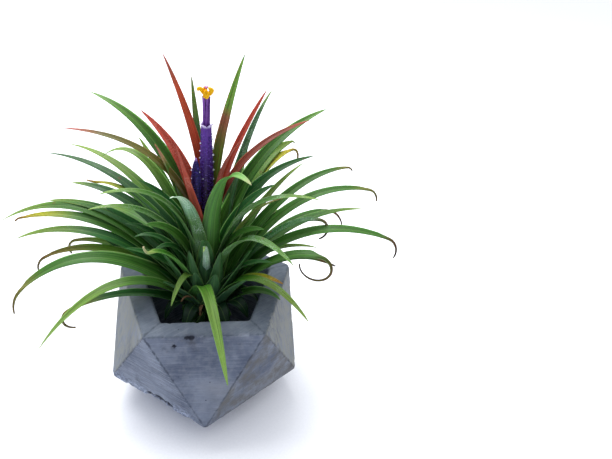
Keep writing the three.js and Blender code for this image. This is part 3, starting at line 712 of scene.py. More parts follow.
def pot_facets():
    """The pot's flat faces: the corners of each, and whether it lies in the cavity."""
    rim = pentagon(RIM_RADIUS, RIM_HEIGHT, RIM_FIRST_CORNER)
    ring = pentagon(RING_RADIUS, RING_HEIGHT, RING_FIRST_CORNER)
    foot = pentagon(FOOT_RADIUS, 0, RING_FIRST_CORNER)
    mouth = pentagon(MOUTH_RADIUS, RIM_HEIGHT, RIM_FIRST_CORNER)
    floor = pentagon(CAVITY_FLOOR_RADIUS, CAVITY_FLOOR_HEIGHT, RIM_FIRST_CORNER)
    facets = [(foot, False), (floor, True)]
    for this in range(POT_SIDES):
        after = (this + 1) % POT_SIDES
        facets += [
            ([rim[this], rim[after], ring[this]], False),
            ([ring[this], ring[after], rim[after]], False),
            ([ring[this], ring[after], foot[after], foot[this]], False),
            ([rim[this], rim[after], mouth[after], mouth[this]], False),
            ([mouth[this], mouth[after], floor[after], floor[this]], True),
        ]
    return facets


def pot_shell(facets):
    """One closed shell of the facets, with rounded edges and an even fine grid."""
    shell = bmesh.new()
    for corners, _ in facets:
        shell.faces.new([shell.verts.new(corner * MM) for corner in corners])
    bmesh.ops.remove_doubles(shell, verts=shell.verts[:], dist=MERGE_DISTANCE * MM)
    bmesh.ops.recalc_face_normals(shell, faces=shell.faces[:])
    bmesh.ops.bevel(shell, geom=shell.edges[:], offset=EDGE_ROUNDING * MM, segments=EDGE_SEGMENTS,
                    profile=0.5, affect="EDGES")
    mesh = bpy.data.meshes.new("pot_shell")
    shell.to_mesh(mesh)
    shell.free()
    piece = add_object("pot_shell", mesh)
    grid = piece.modifiers.new("even grid", "REMESH")
    grid.mode = "VOXEL"
    grid.voxel_size = POT_GRID * MM * 1
    freeze(piece)
    return piece


def facet_frame(corners, in_cavity):
    """A facet's middle, its outward normal and the directions along it and across it."""
    middle = sum(corners, Vector()) / len(corners)
    normal = (corners[1] - corners[0]).cross(corners[2] - corners[0]).normalized()
    facing = CAVITY_MIDDLE - middle if in_cavity else middle - POT_CORE
    if normal.dot(facing) < 0:
        normal.negate()
    level = Vector((0, 0, 1)).cross(normal)
    is_level_face = level.length <= 0.05
    along = (corners[1] - corners[0] if is_level_face else level).normalized()
    return middle, normal, along, normal.cross(along)


def has_upright_marks(corners, middle):
    """The side faces with their tip at the ring carry upright mould marks, but for the one in the middle
    of the front. All other faces carry level ones."""
    has_low_tip = len(corners) == 3 and sum(corner.z == RIM_HEIGHT for corner in corners) == 2
    is_mid_front = abs(middle.x) < FRONT_FACET_WITHIN and middle.y < 0
    return has_low_tip and not is_mid_front


def facet_values(facets, places, normals):
    """What the concrete reads at each vertex, from the facet that it belongs to."""
    count = len(places)
    best = np.full(count, -math.inf)
    marks = np.zeros((count, 3))
    marked, warm_shade_faces, upright = np.ones(count), np.zeros(count), np.zeros(count)
    for index, (corners, in_cavity) in enumerate(facets):
        middle, normal, along, across = facet_frame(corners, in_cavity)
        offset = places - np.array(middle)
        score = normals @ np.array(normal) - np.abs(offset @ np.array(normal)) / 2
        on_facet = score > best
        best[on_facet] = score[on_facet]
        is_upright = has_upright_marks(corners, middle)
        looks_up = normal.z > UPWARD_NORMAL
        is_right_front = middle.x > RIGHT_FACET_FROM and middle.y < 0 and not looks_up
        first, second = (along, across) if is_upright else (across, along)
        marks[on_facet, 0] = (offset @ np.array(first))[on_facet]
        marks[on_facet, 1] = (offset @ np.array(second))[on_facet]
        marks[on_facet, 2] = index * FACET_SHIFT
        marked[on_facet] = SMOOTH_FACET_MARKS if looks_up or is_right_front else 1
        # The right front faces are marked for painted warm shade.
        warm_shade_faces[on_facet] = is_right_front
        upright[on_facet] = is_upright
    return {"marks": marks, "marked": marked, "warm_shade_faces": warm_shade_faces, "upright": upright}


def distance_from_edge(places, start, end):
    """How far each place is from the straight edge between two points."""
    start, run = np.array(start), np.array(end) - np.array(start)
    share = np.clip((places - start) @ run / (run @ run), 0, 1)
    return np.linalg.norm(places - start - share[:, None] * run, axis=1)


def crease_distance(facets, places):
    """How far each place is from the nearest edge of the pot."""
    crease = np.full(len(places), math.inf)
    for corners, _ in facets:
        for start, end in zip(corners, corners[1:] + corners[:1]):
            crease = np.minimum(crease, distance_from_edge(places, start, end))
    return crease


def layered_noise(place, layers):
    """The sum of layers of noise at a place. A layer has a height, a fineness and a seed."""
    return sum(height * noise.noise(Vector(place) * fineness + seed) for height, fineness, seed in layers)


def sculpt_pot(piece, facets):
    """Adds chips, voids and an uneven cast surface, and stores what the concrete reads."""
    mesh = piece.data
    places = vertex_vectors(mesh.vertices, "co") / MM
    normals = vertex_vectors(mesh.vertex_normals, "vector")
    heights = places[:, 2]
    values = facet_values(facets, places, normals)
    crease = crease_distance(facets, places)
    push = np.array([layered_noise(place, SWELL_LAYERS) for place in places])
    wear = np.array([layered_noise(place, WEAR_LAYERS) for place in places])

    low = 1 - smooth_step(heights, *(RING_HEIGHT + over for over in LOW_WEAR_BAND))
    chipped = smooth_step(wear + LOW_WEAR * low, *CHIP_WEAR) * (1 - smooth_step(crease, *CHIP_REACH))
    push -= CHIP_DEPTH * chipped
    worn_edge = 1 - smooth_step(distance_from_edge(places, *WORN_EDGE), *WORN_REACH)
    push -= WORN_DEPTH * worn_edge ** 4 * smooth_step(wear, *WORN_WEAR)
    hollow = np.zeros(len(places))
    for place, radius, depth in POT_VOIDS:
        away = np.linalg.norm(places - np.array(place), axis=1)
        sunk = 1 - smooth_step(away, *(radius * share for share in VOID_WALL))
        push -= depth * sunk
        hollow = np.maximum(hollow, sunk)
    push[heights < FLAT_FOOT_HEIGHT] = 0
    places += normals * np.minimum(push, HIGHEST_SWELL)[:, None]
    mesh.vertices.foreach_set("co", (places * MM).astype(np.float32).ravel())

    store_values(mesh, "marks", values.pop("marks"), "FLOAT_VECTOR")
    values.update(crease=crease, chipped=chipped, hollow=hollow, worn=worn_edge)
    for name, value in values.items():
        store_values(mesh, name, value)
    mesh.update()
    mesh.shade_smooth()


# Tints of the concrete. Each has its colour, two values of the pattern that brings it in, and its
# share at the first value and at the second: none and all of it where they aren't given.
CONCRETE_TINTS = {
    "light cloud": (srgb(118, 126, 140), 0.36, 0.66),
    "grain": (srgb(150, 154, 160), 0.35, 0.75, 0.0, 0.3),
    "pale line": (srgb(158, 166, 180), 0.5, 0.64, 0.0, 0.5),
    "dark line": (srgb(58, 64, 80), 0.32, 0.47, 0.72, 0.0),
    "fine line": (srgb(64, 70, 84), 0.34, 0.52, 0.5, 0.0),
    "stain": (srgb(66, 66, 68), 0.56, 0.72, 0.0, 0.55),
    "warm cloud": (srgb(120, 116, 106), 0.5, 0.7, 0.0, 0.3),
    "darker edge": (srgb(44, 48, 58), 0.85, 1.6, 0.7, 0.0),
    "pale chip": (srgb(150, 156, 166), 0.1, 0.6, 0.0, 0.35),
    # Painted warm shade, in blotches, for the right front faces.
    "painted warm shade": (srgb(92, 90, 84), 0.36, 0.6, 0.75, 0.0),
    "smudge": (srgb(130, 132, 125), 0.4, 0.58, 0.2, 0.8),
    "rim": (srgb(82, 90, 96), (RIM_HEIGHT - 1.0) * MM, (RIM_HEIGHT - 0.3) * MM, 0.0, 0.4),
    "speckle": (srgb(170, 180, 200), 0.46, 0.58, 0.0, 0.85),
}
DARK_CLOUD = srgb(82, 90, 106)
# Painted shade in the pinholes and voids.
HOLE_SHADE_COLOUR = srgb(38, 40, 48)


def concrete():
    """Cast concrete: cloudy grey, fine mould marks, pinholes and voids in painted shade, darker edges, pale
    worn chips, and painted warm shade on the right front faces.
    """
    look = Surface("cast concrete", Specular_IOR_Level=0.25)
    tints = CONCRETE_TINTS
    marks = look.attribute("marks", "Vector")
    read = ("marked", "crease", "chipped", "hollow", "warm_shade_faces", "upright", "worn")
    marked, crease, chipped, hollow, warm_shade_faces, upright, worn = (look.attribute(name) for name in read)
    height_over_foot = look.node("ShaderNodeSeparateXYZ", {0: look.place}).outputs["Z"]
    mottle = look.noise(look.place, 300, 5, 0.65)
    lines = look.noise(look.move("MULTIPLY", marks, (1.5, 0.05, 1.0)), 1.0, 6, 0.75)
    fine_lines = look.noise(look.move("MULTIPLY", marks, (4.6, 0.16, 1.0)), 1.0, 3, 0.6)
    smudges = look.noise(look.move("MULTIPLY", marks, (0.5, 0.14, 1.0)), 1.0, 5, 0.7)
    uneven_crease = look.add(crease, look.times(look.noise(look.place, 420, 4), 1.6))

    grey = look.tint(DARK_CLOUD, look.noise(look.place, 48, 5), *tints["light cloud"])
    grey = look.tint(grey, mottle, *tints["grain"])
    grey = look.tint(grey, lines, *tints["pale line"], where=marked)
    grey = look.tint(grey, lines, *tints["dark line"], where=marked)
    grey = look.tint(grey, fine_lines, *tints["fine line"], where=marked)
    grey = look.tint(grey, look.noise(look.place, 70, 5, 0.7), *tints["stain"])
    grey = look.tint(grey, look.noise(look.place, 24, 2), *tints["warm cloud"])
    # Darker along every edge and crease of the pot.
    grey = look.tint(grey, uneven_crease, *tints["darker edge"])
    grey = look.tint(grey, chipped, *tints["pale chip"], where=look.step(mottle, 0.4, 0.56))
    # Painted warm shade, in blotches, on the right front faces.
    grey = look.tint(grey, look.noise(look.place, 130, 5, 0.75), *tints["painted warm shade"], where=warm_shade_faces)
    grey = look.tint(grey, smudges, *tints["smudge"], where=upright)
    grey = look.tint(grey, height_over_foot, *tints["rim"])
    grey = look.tint(grey, look.noise(look.place, 700, 4, 0.8), *tints["speckle"], where=worn)
    # Pinholes and air voids are painted near black: painted shade in the recesses.
    holes = look.step(look.cells(look.place, 420), 0.1, 0.17, 1.0, 0.0)
    holes = look.times(holes, look.step(look.noise(look.place, 160, 2), 0.62, 0.7))
    dark = look.math("MAXIMUM", look.times(holes, 0.7), look.step(hollow, 0.25, 0.8, 0.0, 0.9))
    grey = look.blend(dark, grey, HOLE_SHADE_COLOUR)

    height = look.add(look.times(lines, 0.7), look.times(fine_lines, 0.5))
    height = look.add(height, look.times(mottle, 0.4))
    height = look.math("SUBTRACT", height, look.times(holes, 1.2))
    roughness = look.step(mottle, 0.2, 0.8, 0.75, 0.95)
    return look.finish(grey, roughness, height, bump=0.6, distance=0.2)


def make_pot():
    facets = pot_facets()
    pot = pot_shell(facets)
    sculpt_pot(pot, facets)
    pot.name = "concrete_pot"
    pot.data.materials.clear()
    pot.data.materials.append(concrete())
    dress(pot, "pot", "pot")


# Leaves.

# Tints that both leaf skins share, given as the concrete's are, and what the skins read.
LEAF_SPOT = (srgb(98, 52, 30), 0.05, 0.1, 0.35, 0.0)
DRY_CRINKLE = (srgb(60, 38, 28), 0.4, 0.7, 0.0, 0.5)
LEAF_FIELDS = ("along", "across", "face", "leaf_seed", "bloom_and_sheen", "dry")


def leaf_skin(name, shade, streak, margin, underside, scale, scatter_radius):
    """A satin leaf surface: fine veins, a paler underside, a thin margin, and a bloom of grey scales that
    also paints silvery sheen.
    """
    look = Surface(name, Specular_IOR_Level=0.2, Subsurface_Weight=0.2, Subsurface_Scale=0.8 * MM,
                   Subsurface_Radius=scatter_radius)
    colour = look.attribute("leaf_colour", "Color")
    along, across, face, seed, bloom_and_sheen, dry = (look.attribute(name) for name in LEAF_FIELDS)
    out = look.math("ABSOLUTE", across)

    def stripes(over_width, over_length, shift, fineness, detail):
        """Stripes that run along the leaf, in a pattern of its own for each leaf."""
        place = look.combine(look.times(across, over_width), look.times(along, over_length),
                             look.times(seed, shift))
        return look.noise(place, fineness, detail)

    veins = stripes(5, 1.5, 37, 2.2, 4)
    threads = stripes(24, 3, 53, 1.0, 2)
    mottle = look.noise(look.place, 420, 4, 0.6)
    crinkle = look.noise(look.place, 900, 4, 0.7)
    colour = look.tint(colour, veins, shade, 0.38, 0.7, 0.0, 0.6)
    colour = look.tint(colour, threads, look.stretch(colour, 1.6), 0.46, 0.68, 0.0, 0.6)
    colour = look.tint(colour, threads, shade, 0.34, 0.48, 0.2, 0.0)
    colour = look.tint(colour, mottle, look.stretch(colour, 1.5), 0.55, 0.8, 0.0, 0.5)
    colour = look.tint(colour, out, streak, 0.0, 0.1, 0.14, 0.0)
    # The deepest colours take no pale underside or margin.
    not_deep = look.step(look.node("ShaderNodeRGBToBW", {0: colour}).outputs[0], 0.01, 0.06)
    colour = look.tint(colour, face, underside, -0.3, 0.3, 0.12, 0.0, where=not_deep)
    edge = look.times(look.step(out, 0.86, 0.99), not_deep)
    colour = look.tint(colour, veins, margin, 0.3, 0.6, 0.1, 0.45, where=edge)
    patches = look.step(look.noise(look.place, 190, 3), 0.36, 0.66)
    # The silvery bloom is partly grey scales and partly painted sheen.
    silver = look.times(look.step(look.cells(look.place, 2500), 0.2, 0.55, 1.0, 0.0), patches)
    silver = look.times(silver, bloom_and_sheen)
    colour = look.blend(silver, colour, scale)
    colour = look.tint(colour, look.cells(look.place, 95), *LEAF_SPOT, where=look.step(along, 0.3, 0.5))
    colour = look.tint(colour, crinkle, *DRY_CRINKLE, where=dry)

    height = look.add(look.times(threads, 0.6), look.times(veins, 0.4))
    height = look.add(height, look.times(crinkle, look.times(dry, 1.4)))
    roughness = look.add(look.step(mottle, 0.3, 0.7, 0.4, 0.55), look.times(dry, 0.3))
    roughness = look.add(roughness, look.times(silver, 0.3))
    return look.finish(colour, roughness, height, bump=0.45, distance=0.12)


def leaf_path(row, root_out):
    """The centre line in the leaf's own upright plane: a parabola through its middle, then its dry curl."""
    start = np.array([root_out, row["root"]])
    tip = np.array(row["end"])
    control = 2 * np.array(row["middle"]) - (start + tip) / 2
    share = np.linspace(0, 1, BLADE_STEPS)[:, None]
    path = (1 - share) ** 2 * start + 2 * share * (1 - share) * control + share ** 2 * tip
    if row["curl"] == 0:
        return path
    steps = max(LEAST_CURL_STEPS, math.ceil(abs(row["turn"]) / CURL_STEP_DEGREES))
    coarse_steps = max(LEAST_COARSE_STEPS, math.ceil(abs(row["turn"]) / COARSE_CURL_DEGREES))
    heading = math.atan2(*(tip - control)[::-1])
    middles = (np.arange(steps) + 0.5) / steps
    # A coarse step turns before it advances, so this curl comes to lead by half of one.
    lead = (1 - np.exp(-CURL_LEAD_RISE * middles)) / coarse_steps / 2
    angles = heading + math.radians(row["turn"]) * (middles + lead)
    moves = np.stack([np.cos(angles), np.sin(angles)], axis=1) * row["curl"] / steps
    return np.vstack([path, tip + np.cumsum(moves, axis=0)])


def leaf_colours(row, along, blade_share):
    """The colour and the dryness along a leaf: deep at the root, partly its own colour and partly painted
    shade, then its own tone, then its tip's colours.
    """
    tone = np.array(TONES[row["tone"]])
    shade, shade_end = PAINTED_INNER_ROOT_SHADE if row["root"] >= INNER_LEAF_ROOT else PAINTED_ROOT_SHADE
    # Painted shade: the tone darkens towards the root.
    colour = blend(tone * shade, tone, smooth_step(along, shade_end * 0.15, shade_end))
    dry = np.zeros(len(along))
    if row["tip"]:
        start = min(1 - row["share"], blade_share - 0.02 if row["curl"] else 1)
        lead = 0.02 if row["tip"] == "char" else 0.08
        first, last, *reached = TIPS[row["tip"]]
        middle, end = (start + (1 - start) * share for share in reached)
        colour = blend(colour, np.array(first), smooth_step(along, start - lead, middle))
        colour = blend(colour, np.array(last), smooth_step(along, middle - 0.03, end))
        if row["tip"] in DRY_TIPS:
            dry = smooth_step(along, start, middle + 0.05)
    return colour, dry


def leaf_twist(row, along, blade_share, random):
    """How far the blade and its curl are turned about the centre line, in radians."""
    twist = math.radians(random.uniform(-BLADE_TWIST, BLADE_TWIST)) * along ** 1.5
    twist += math.radians(row["twist"]) * smooth_step(along, 0.0, 0.4)
    twist += math.radians(row["roll"]) * smooth_step(along, 0.55, 0.95)
    curl_twist = math.radians(random.uniform(-CURL_TWIST, CURL_TWIST))
    return twist + curl_twist * smooth_step(along, blade_share - 0.02, 1.0) * (row["curl"] > 0)


# What the leaf tree and the leaf skin read along each line, and of which kind it is.
LEAF_VALUES = {
    "side": "FLOAT_VECTOR", "rise": "FLOAT_VECTOR", "leaf_colour": "FLOAT_COLOR", "along": "FLOAT",
    "leaf_width": "FLOAT", "rolled": "FLOAT", "rolled_width": "FLOAT", "dry": "FLOAT", "bloom_and_sheen": "FLOAT",
    "leaf_seed": "FLOAT",
}


def leaf_line(row, root_out, random):
    """The points of a leaf's line in millimetres, and the values along it."""
    flat = leaf_path(row, root_out)
    count = len(flat)
    place = flat[:, :1] * outwards(row["angle"]) + flat[:, 1:] * np.array([0, 0, 1])
    spans = np.concatenate([[0], np.cumsum(np.linalg.norm(np.diff(place, axis=0), axis=1))])
    along = spans / spans[-1]
    blade_share = along[BLADE_STEPS - 1]
    heading = np.gradient(place, axis=0)
    heading /= np.linalg.norm(heading, axis=1)[:, None]
    level = np.tile(outwards(row["angle"] + 90), (count, 1))
    side = rotated(level, heading, leaf_twist(row, along, blade_share, random))
    sway = random.uniform(*SWAY)
    sway = sway * np.sin(along * random.uniform(*SWAY_WAVE) + random.uniform(*SWAY_START)) * along
    place = place + side * (sway + row["aside"] * (1 - along))[:, None]
    colour, dry = leaf_colours(row, along, blade_share)
    return place, {
        "side": side, "rise": np.cross(heading, side), "leaf_colour": colour, "along": along,
        "leaf_width": np.full(count, row["width"] * MM),
        "rolled": smooth_step(along, blade_share - 0.05, blade_share + 0.01) * (row["curl"] > 0),
        "rolled_width": np.interp(along, (blade_share - 0.05, 1), ROLLED_WIDTHS) * MM, "dry": dry,
        "bloom_and_sheen": row["bloom_and_sheen"] * smooth_step(along, 0.3, 0.65),
        "leaf_seed": np.full(count, random.uniform(0, 1)),
    }


def leaf_lines(name, rows):
    """One mesh of open lines, a line for each leaf."""
    random = np.random.default_rng(LEAF_SEED)
    lines = [leaf_line(row, root_out, random) for row, root_out in rows]
    mesh = line_mesh(name, [place for place, _ in lines])
    for key, kind in LEAF_VALUES.items():
        store_values(mesh, key, np.concatenate([values[key] for _, values in lines]), kind)
    return mesh


def leaf_tree(name, material, **sizes):
    """Sweeps a folded, tapering blade along each line. Its edges ripple a little."""
    tree = Builder(name, **sizes)
    line = tree.node("GeometryNodeMeshToCurve", {0: tree.start.outputs["Geometry"]}).outputs[0]
    line = tree.store(line, "centre", tree.node("GeometryNodeInputPosition").outputs[0], "FLOAT_VECTOR")
    section = tree.node("GeometryNodeCurvePrimitiveCircle", {"Resolution": tree.size("Section_points")})
    turn = tree.math("DIVIDE", tree.node("GeometryNodeInputIndex").outputs[0], tree.size("Section_points"))
    section = tree.store(section.outputs[0], "turn", turn)
    sweep = {"Curve": line, "Profile Curve": section, "Fill Caps": True}
    blade = tree.node("GeometryNodeCurveToMesh", sweep).outputs[0]

    # Across the blade runs from -1 to 1, on its upper face first and then back on its under face.
    turn = tree.named("turn")
    from_middle = tree.math("SUBTRACT", turn, 0.5)
    across = tree.math("SUBTRACT", tree.times(tree.math("ABSOLUTE", from_middle), 4), 1)
    out = tree.math("ABSOLUTE", across)
    round_edge = tree.math("SQRT", tree.math("SUBTRACT", 1.0, tree.times(out, out), clamp=True))
    face = tree.times(tree.math("SIGN", from_middle), -1)

    along = tree.named("along")
    left = tree.math("SUBTRACT", 1, along, clamp=True)
    narrowing = tree.math("SUBTRACT", 1, tree.math("POWER", along, tree.size("Fullness")), clamp=True)
    taper = tree.math("POWER", narrowing, tree.size("Taper_power"))
    near_root = tree.math("DIVIDE", along, tree.size("Sheath_length"))
    sheath = tree.math("EXPONENT", tree.times(tree.times(near_root, near_root), -1))
    taper = tree.add(taper, tree.times(sheath, tree.size("Sheath")))
    spread = tree.times(tree.math("SUBTRACT", tree.named("leaf_width"), tree.size("Tip_width")), taper)
    width = tree.add(spread, tree.size("Tip_width"))
    rolled, rolled_width = tree.named("rolled"), tree.named("rolled_width")
    width = tree.mix(rolled, width, rolled_width)
    spread = tree.times(spread, tree.math("SUBTRACT", 1.0, rolled))

    fold = tree.times(tree.times(spread, tree.size("Channel_depth")), tree.math("POWER", out, 1.25))
    root_part = tree.times(tree.size("Root_thickness"), left)
    rib = tree.times(tree.add(root_part, tree.times(tree.size("Tip_thickness"), along)), 0.5)
    rib = tree.times(rib, tree.math("SUBTRACT", 1.0, tree.times(out, 0.55)))
    rib = tree.mix(rolled, rib, tree.times(rolled_width, 0.42))
    groove = tree.times(tree.size("Groove_depth"), tree.times(left, left))
    groove = tree.times(tree.step(out, 0.0, 0.3, 1.0, 0.0), groove)
    ripple_place = tree.combine(tree.times(along, 11), across, tree.times(tree.named("leaf_seed"), 61))
    ripple = tree.math("SUBTRACT", tree.noise(ripple_place, 1.0, 2), 0.5)
    ripple = tree.times(tree.times(ripple, tree.times(spread, tree.size("Ripple"))), out)
    height = tree.add(fold, tree.times(tree.times(face, round_edge), rib))
    height = tree.add(tree.math("SUBTRACT", height, groove), ripple)

    shift = tree.stretch(tree.named("side", "FLOAT_VECTOR"), tree.times(tree.times(across, width), 0.5))
    shift = tree.move("ADD", shift, tree.stretch(tree.named("rise", "FLOAT_VECTOR"), height))
    place = tree.move("ADD", tree.named("centre", "FLOAT_VECTOR"), shift)
    blade = tree.store(blade, "across", across)
    blade = tree.store(blade, "face", tree.times(face, round_edge))
    blade = tree.node("GeometryNodeSetPosition", {"Geometry": blade, "Position": place}).outputs[0]
    tree.finish(blade, material)
    return tree


def make_leaves(name, rows, skin, sheath, section_points):
    tree = leaf_tree(
        name + " tree", skin, Section_points=section_points, Tip_width=0.28 * MM, Fullness=1.85,
        Taper_power=0.72, Sheath=sheath, Sheath_length=0.26, Channel_depth=0.2, Root_thickness=1.5 * MM,
        Tip_thickness=0.34 * MM, Groove_depth=0.16 * MM, Ripple=0.09)
    piece = tree.build(name, leaf_lines(name, rows), skin)
    drop_attributes(piece.data, "centre", "side", "rise", "turn", "leaf_width", "rolled", "rolled_width")
    return piece


def core_skin(name, low_colour, high_colour):
    """The overlapping leaf bases round the stem, in upright fibres."""
    look = Surface(name, Specular_IOR_Level=0.35)
    fibres = look.noise(look.move("MULTIPLY", look.place, (1.0, 1.0, 0.08)), 900, 4)
    patches = look.noise(look.place, 160, 3)
    colour = look.tint(low_colour, fibres, high_colour, 0.35, 0.65)
    colour = look.tint(colour, patches, srgb(92, 78, 52), 0.5, 0.75, 0.0, 0.5)
    return look.finish(colour, look.step(fibres, 0.2, 0.8, 0.5, 0.75), fibres, bump=0.6, distance=0.3)


def heart_lean(height):
    """How far the heart's top leans along X, so that it carries the bud too."""
    return HEART_LEAN * float(smooth_step(height, *HEART_LEAN_BAND))


def make_core(name, outline, sides, skin, slot, lean=None):
    """A turned piece of the plant's core, which stands under the finer ones."""
    piece = add_object(name, turned_mesh(name, outline, sides, lean))
    piece.data.materials.append(skin)
    dress(piece, slot)


def make_plant():
    green_skin = leaf_skin(
        "green leaf skin", shade=srgb(12, 32, 12), streak=srgb(150, 186, 96), margin=srgb(150, 182, 104),
        underside=srgb(140, 168, 124), scale=srgb(196, 220, 204), scatter_radius=(0.4, 1.0, 0.3))
    red_skin = leaf_skin(
        "red leaf skin", shade=srgb(62, 26, 16), streak=srgb(196, 104, 76), margin=srgb(130, 92, 54),
        underside=srgb(168, 104, 88), scale=srgb(206, 140, 122), scatter_radius=(1.0, 0.4, 0.25))
    green_rows = [(row, LEAF_ROOT_RADIUS) for row in GREEN_LEAVES]
    green_rows += [(row, INNER_ROOT_RADIUS) for row in INMOST_GREEN_LEAVES]
    green_rows += [(row, LEAF_ROOT_RADIUS) for row in MOUTH_LEAVES]
    red_rows = [(row, LEAF_ROOT_RADIUS) for row in RED_LEAVES]
    green = make_leaves("green_blades", green_rows, green_skin, sheath=0.7, section_points=16)
    red = make_leaves("red_blades", red_rows, red_skin, sheath=0.05, section_points=24)
    dress(green, "green_leaves", "green_leaves")
    dress(red, "red_leaves", "red_leaves")
    stem_skin = core_skin("stem fibres", srgb(26, 42, 22), srgb(60, 78, 42))
    make_core("stem", STEM_OUTLINE, CORE_SIDES, stem_skin, "green_leaves")
    # The heart's dark red-brown is partly painted shade of the red leaves round it.
    heart_shaded_skin = core_skin("heart fibres", srgb(38, 20, 20), srgb(76, 36, 32))
    make_core("heart", HEART_OUTLINE, CORE_SIDES, heart_shaded_skin, "red_leaves", heart_lean)


# Flower, bud and dry base.

def smooth_line(points, steps):
    """A smooth curve through the points."""
    points = np.array(points, dtype=float)
    padded = np.vstack([2 * points[0] - points[1], points, 2 * points[-1] - points[-2]])
    shares = np.linspace(0, len(points) - 1, steps)
    index = np.minimum(shares.astype(int), len(points) - 2)
    share = (shares - index)[:, None]
    before, start, end, after = (padded[index + shift] for shift in range(4))
    bend = 2 * before - 5 * start + 4 * end - after
    swing = 3 * start - before - 3 * end + after
    return 0.5 * (2 * start + (end - before) * share + bend * share ** 2 + swing * share ** 3)


def strand_lines(name, strands):
    """One mesh of open lines. A strand is its points, its radius at each of them and its shade."""
    counts = [len(points) for points, _, _ in strands]
    mesh = line_mesh(name, [points for points, _, _ in strands])
    radii = [np.broadcast_to(radius, count) for (_, radius, _), count in zip(strands, counts)]
    store_values(mesh, "strand_radius", np.concatenate(radii) * MM)
    store_values(mesh, "shade", np.repeat([shade for _, _, shade in strands], counts))
    store_values(mesh, "along", np.concatenate([np.linspace(0, 1, count) for count in counts]))
    return mesh


def make_strands(name, strands, material, section_points, unevenness, grain):
    """Sweeps a round section of each line's own radius along it, and makes its surface uneven."""
    tree = Builder(name + " tree", Section_points=section_points, Unevenness=unevenness * MM,
                   Grain=grain * MM)
    line = tree.node("GeometryNodeMeshToCurve", {0: tree.start.outputs["Geometry"]}).outputs[0]
    section = tree.node("GeometryNodeCurvePrimitiveCircle", {"Resolution": tree.size("Section_points")})
    sweep = {"Curve": line, "Profile Curve": section.outputs[0], "Scale": tree.named("strand_radius"),
             "Fill Caps": True}
    strand = tree.node("GeometryNodeCurveToMesh", sweep).outputs[0]
    place = tree.node("GeometryNodeInputPosition").outputs[0]
    bumps = tree.noise(place, tree.math("DIVIDE", 1.0, tree.size("Grain")), 2)
    swell = tree.times(tree.math("SUBTRACT", bumps, 0.5), tree.times(tree.size("Unevenness"), 2))
    offset = tree.stretch(tree.node("GeometryNodeInputNormal").outputs[0], swell)
    strand = tree.node("GeometryNodeSetPosition", {"Geometry": strand, "Offset": offset}).outputs[0]
    tree.finish(strand, material)
    piece = tree.build(name, strand_lines(name, strands), material)
    drop_attributes(piece.data, "strand_radius")
    return piece


def scatter(name, points, radii, material, subdivisions):
    """Small round drops or beads at the given points, each with its own radius."""
    mesh = bpy.data.meshes.new(name)
    mesh.from_pydata((np.array(points) * MM).tolist(), [], [])
    store_values(mesh, "drop_radius", np.array(radii) * MM)
    tree = Builder(name + " tree", Subdivisions=subdivisions)
    sizes = {"Radius": 1.0, "Subdivisions": tree.size("Subdivisions")}
    ball = tree.node("GeometryNodeMeshIcoSphere", sizes).outputs[0]
    drops = {"Points": tree.start.outputs["Geometry"], "Instance": ball, "Scale": tree.named("drop_radius")}
    tree.finish(tree.node("GeometryNodeInstanceOnPoints", drops).outputs[0], material)
    return tree.build(name, mesh, material)


def even_outline(outline, heights):
    """The outline's radius at each height, with its corners eased."""
    steps, radii = zip(*[(height, radius) for radius, height in outline])
    eased = [np.interp(heights + shift, steps, radii) for shift in OUTLINE_EASING]
    return sum(eased) / len(eased)


def petal_points(flower, angle):
    """One rolled petal as a grid of points, from foot to tip. One edge lies over the next petal's."""
    rows, columns = PETAL_GRID
    height, lip = flower["height"], flower["lip"]
    across = np.linspace(-1, 1, columns)[None, :]
    run = np.linspace(0, height + lip, rows)[:, None]
    upright = np.minimum(run, height)
    bend = (run - upright) / LIP_ROUNDING
    tube = even_outline(flower["outline"], upright)
    radius = tube + LIP_ROUNDING * (1 - np.cos(bend))
    rise = upright + LIP_ROUNDING * np.sin(bend)
    half = PETAL_HALF_ANGLE * tube / radius
    if lip:
        to_tip = np.clip((run - height + PETAL_TIP_LENGTH) / (lip + PETAL_TIP_LENGTH), 0, BLUNT_TIP)
        half = half * np.sqrt(1 - to_tip ** 2)
    radius = radius + PETAL_OVERLAP * across * np.minimum(1, tube)
    angles = np.radians(angle + flower["twist"] * run / (height + lip) + across * half)
    grid = np.stack(np.broadcast_arrays(radius * np.cos(angles), radius * np.sin(angles), rise), axis=-1)
    return grid, np.broadcast_arrays(run / (height + lip), across)


def make_petals(name, flower, material):
    """Three petals that overlap at their edges, as closed sheets round the flower's place."""
    vertices, faces, along, across = [], [], [], []
    for angle in PETAL_ANGLES:
        grid, (run, side) = petal_points(flower, angle)
        rows, columns = grid.shape[:2]
        index = np.arange(rows * columns).reshape(rows, columns) + sum(len(points) for points in vertices)
        corners = (index[:-1, :-1], index[:-1, 1:], index[1:, 1:], index[1:, :-1])
        faces += np.stack(corners, axis=-1).reshape(-1, 4).tolist()
        vertices.append((grid + np.array((*flower["place"], FLOWER_BASE))).reshape(-1, 3))
        along.append(run.ravel())
        across.append(side.ravel())
    mesh = bpy.data.meshes.new(name)
    mesh.from_pydata((np.vstack(vertices) * MM).tolist(), [], faces)
    store_values(mesh, "along", np.concatenate(along))
    store_values(mesh, "across", np.concatenate(across))
    piece = add_object(name, mesh)
    wall = piece.modifiers.new("thickness", "SOLIDIFY")
    wall.thickness = PETAL_THICKNESS * MM
    wall.offset = 0
    freeze(piece)
    turn_faces_out(piece.data)
    piece.data.materials.append(material)
    dress(piece, flower["slot"], flower["slot"])


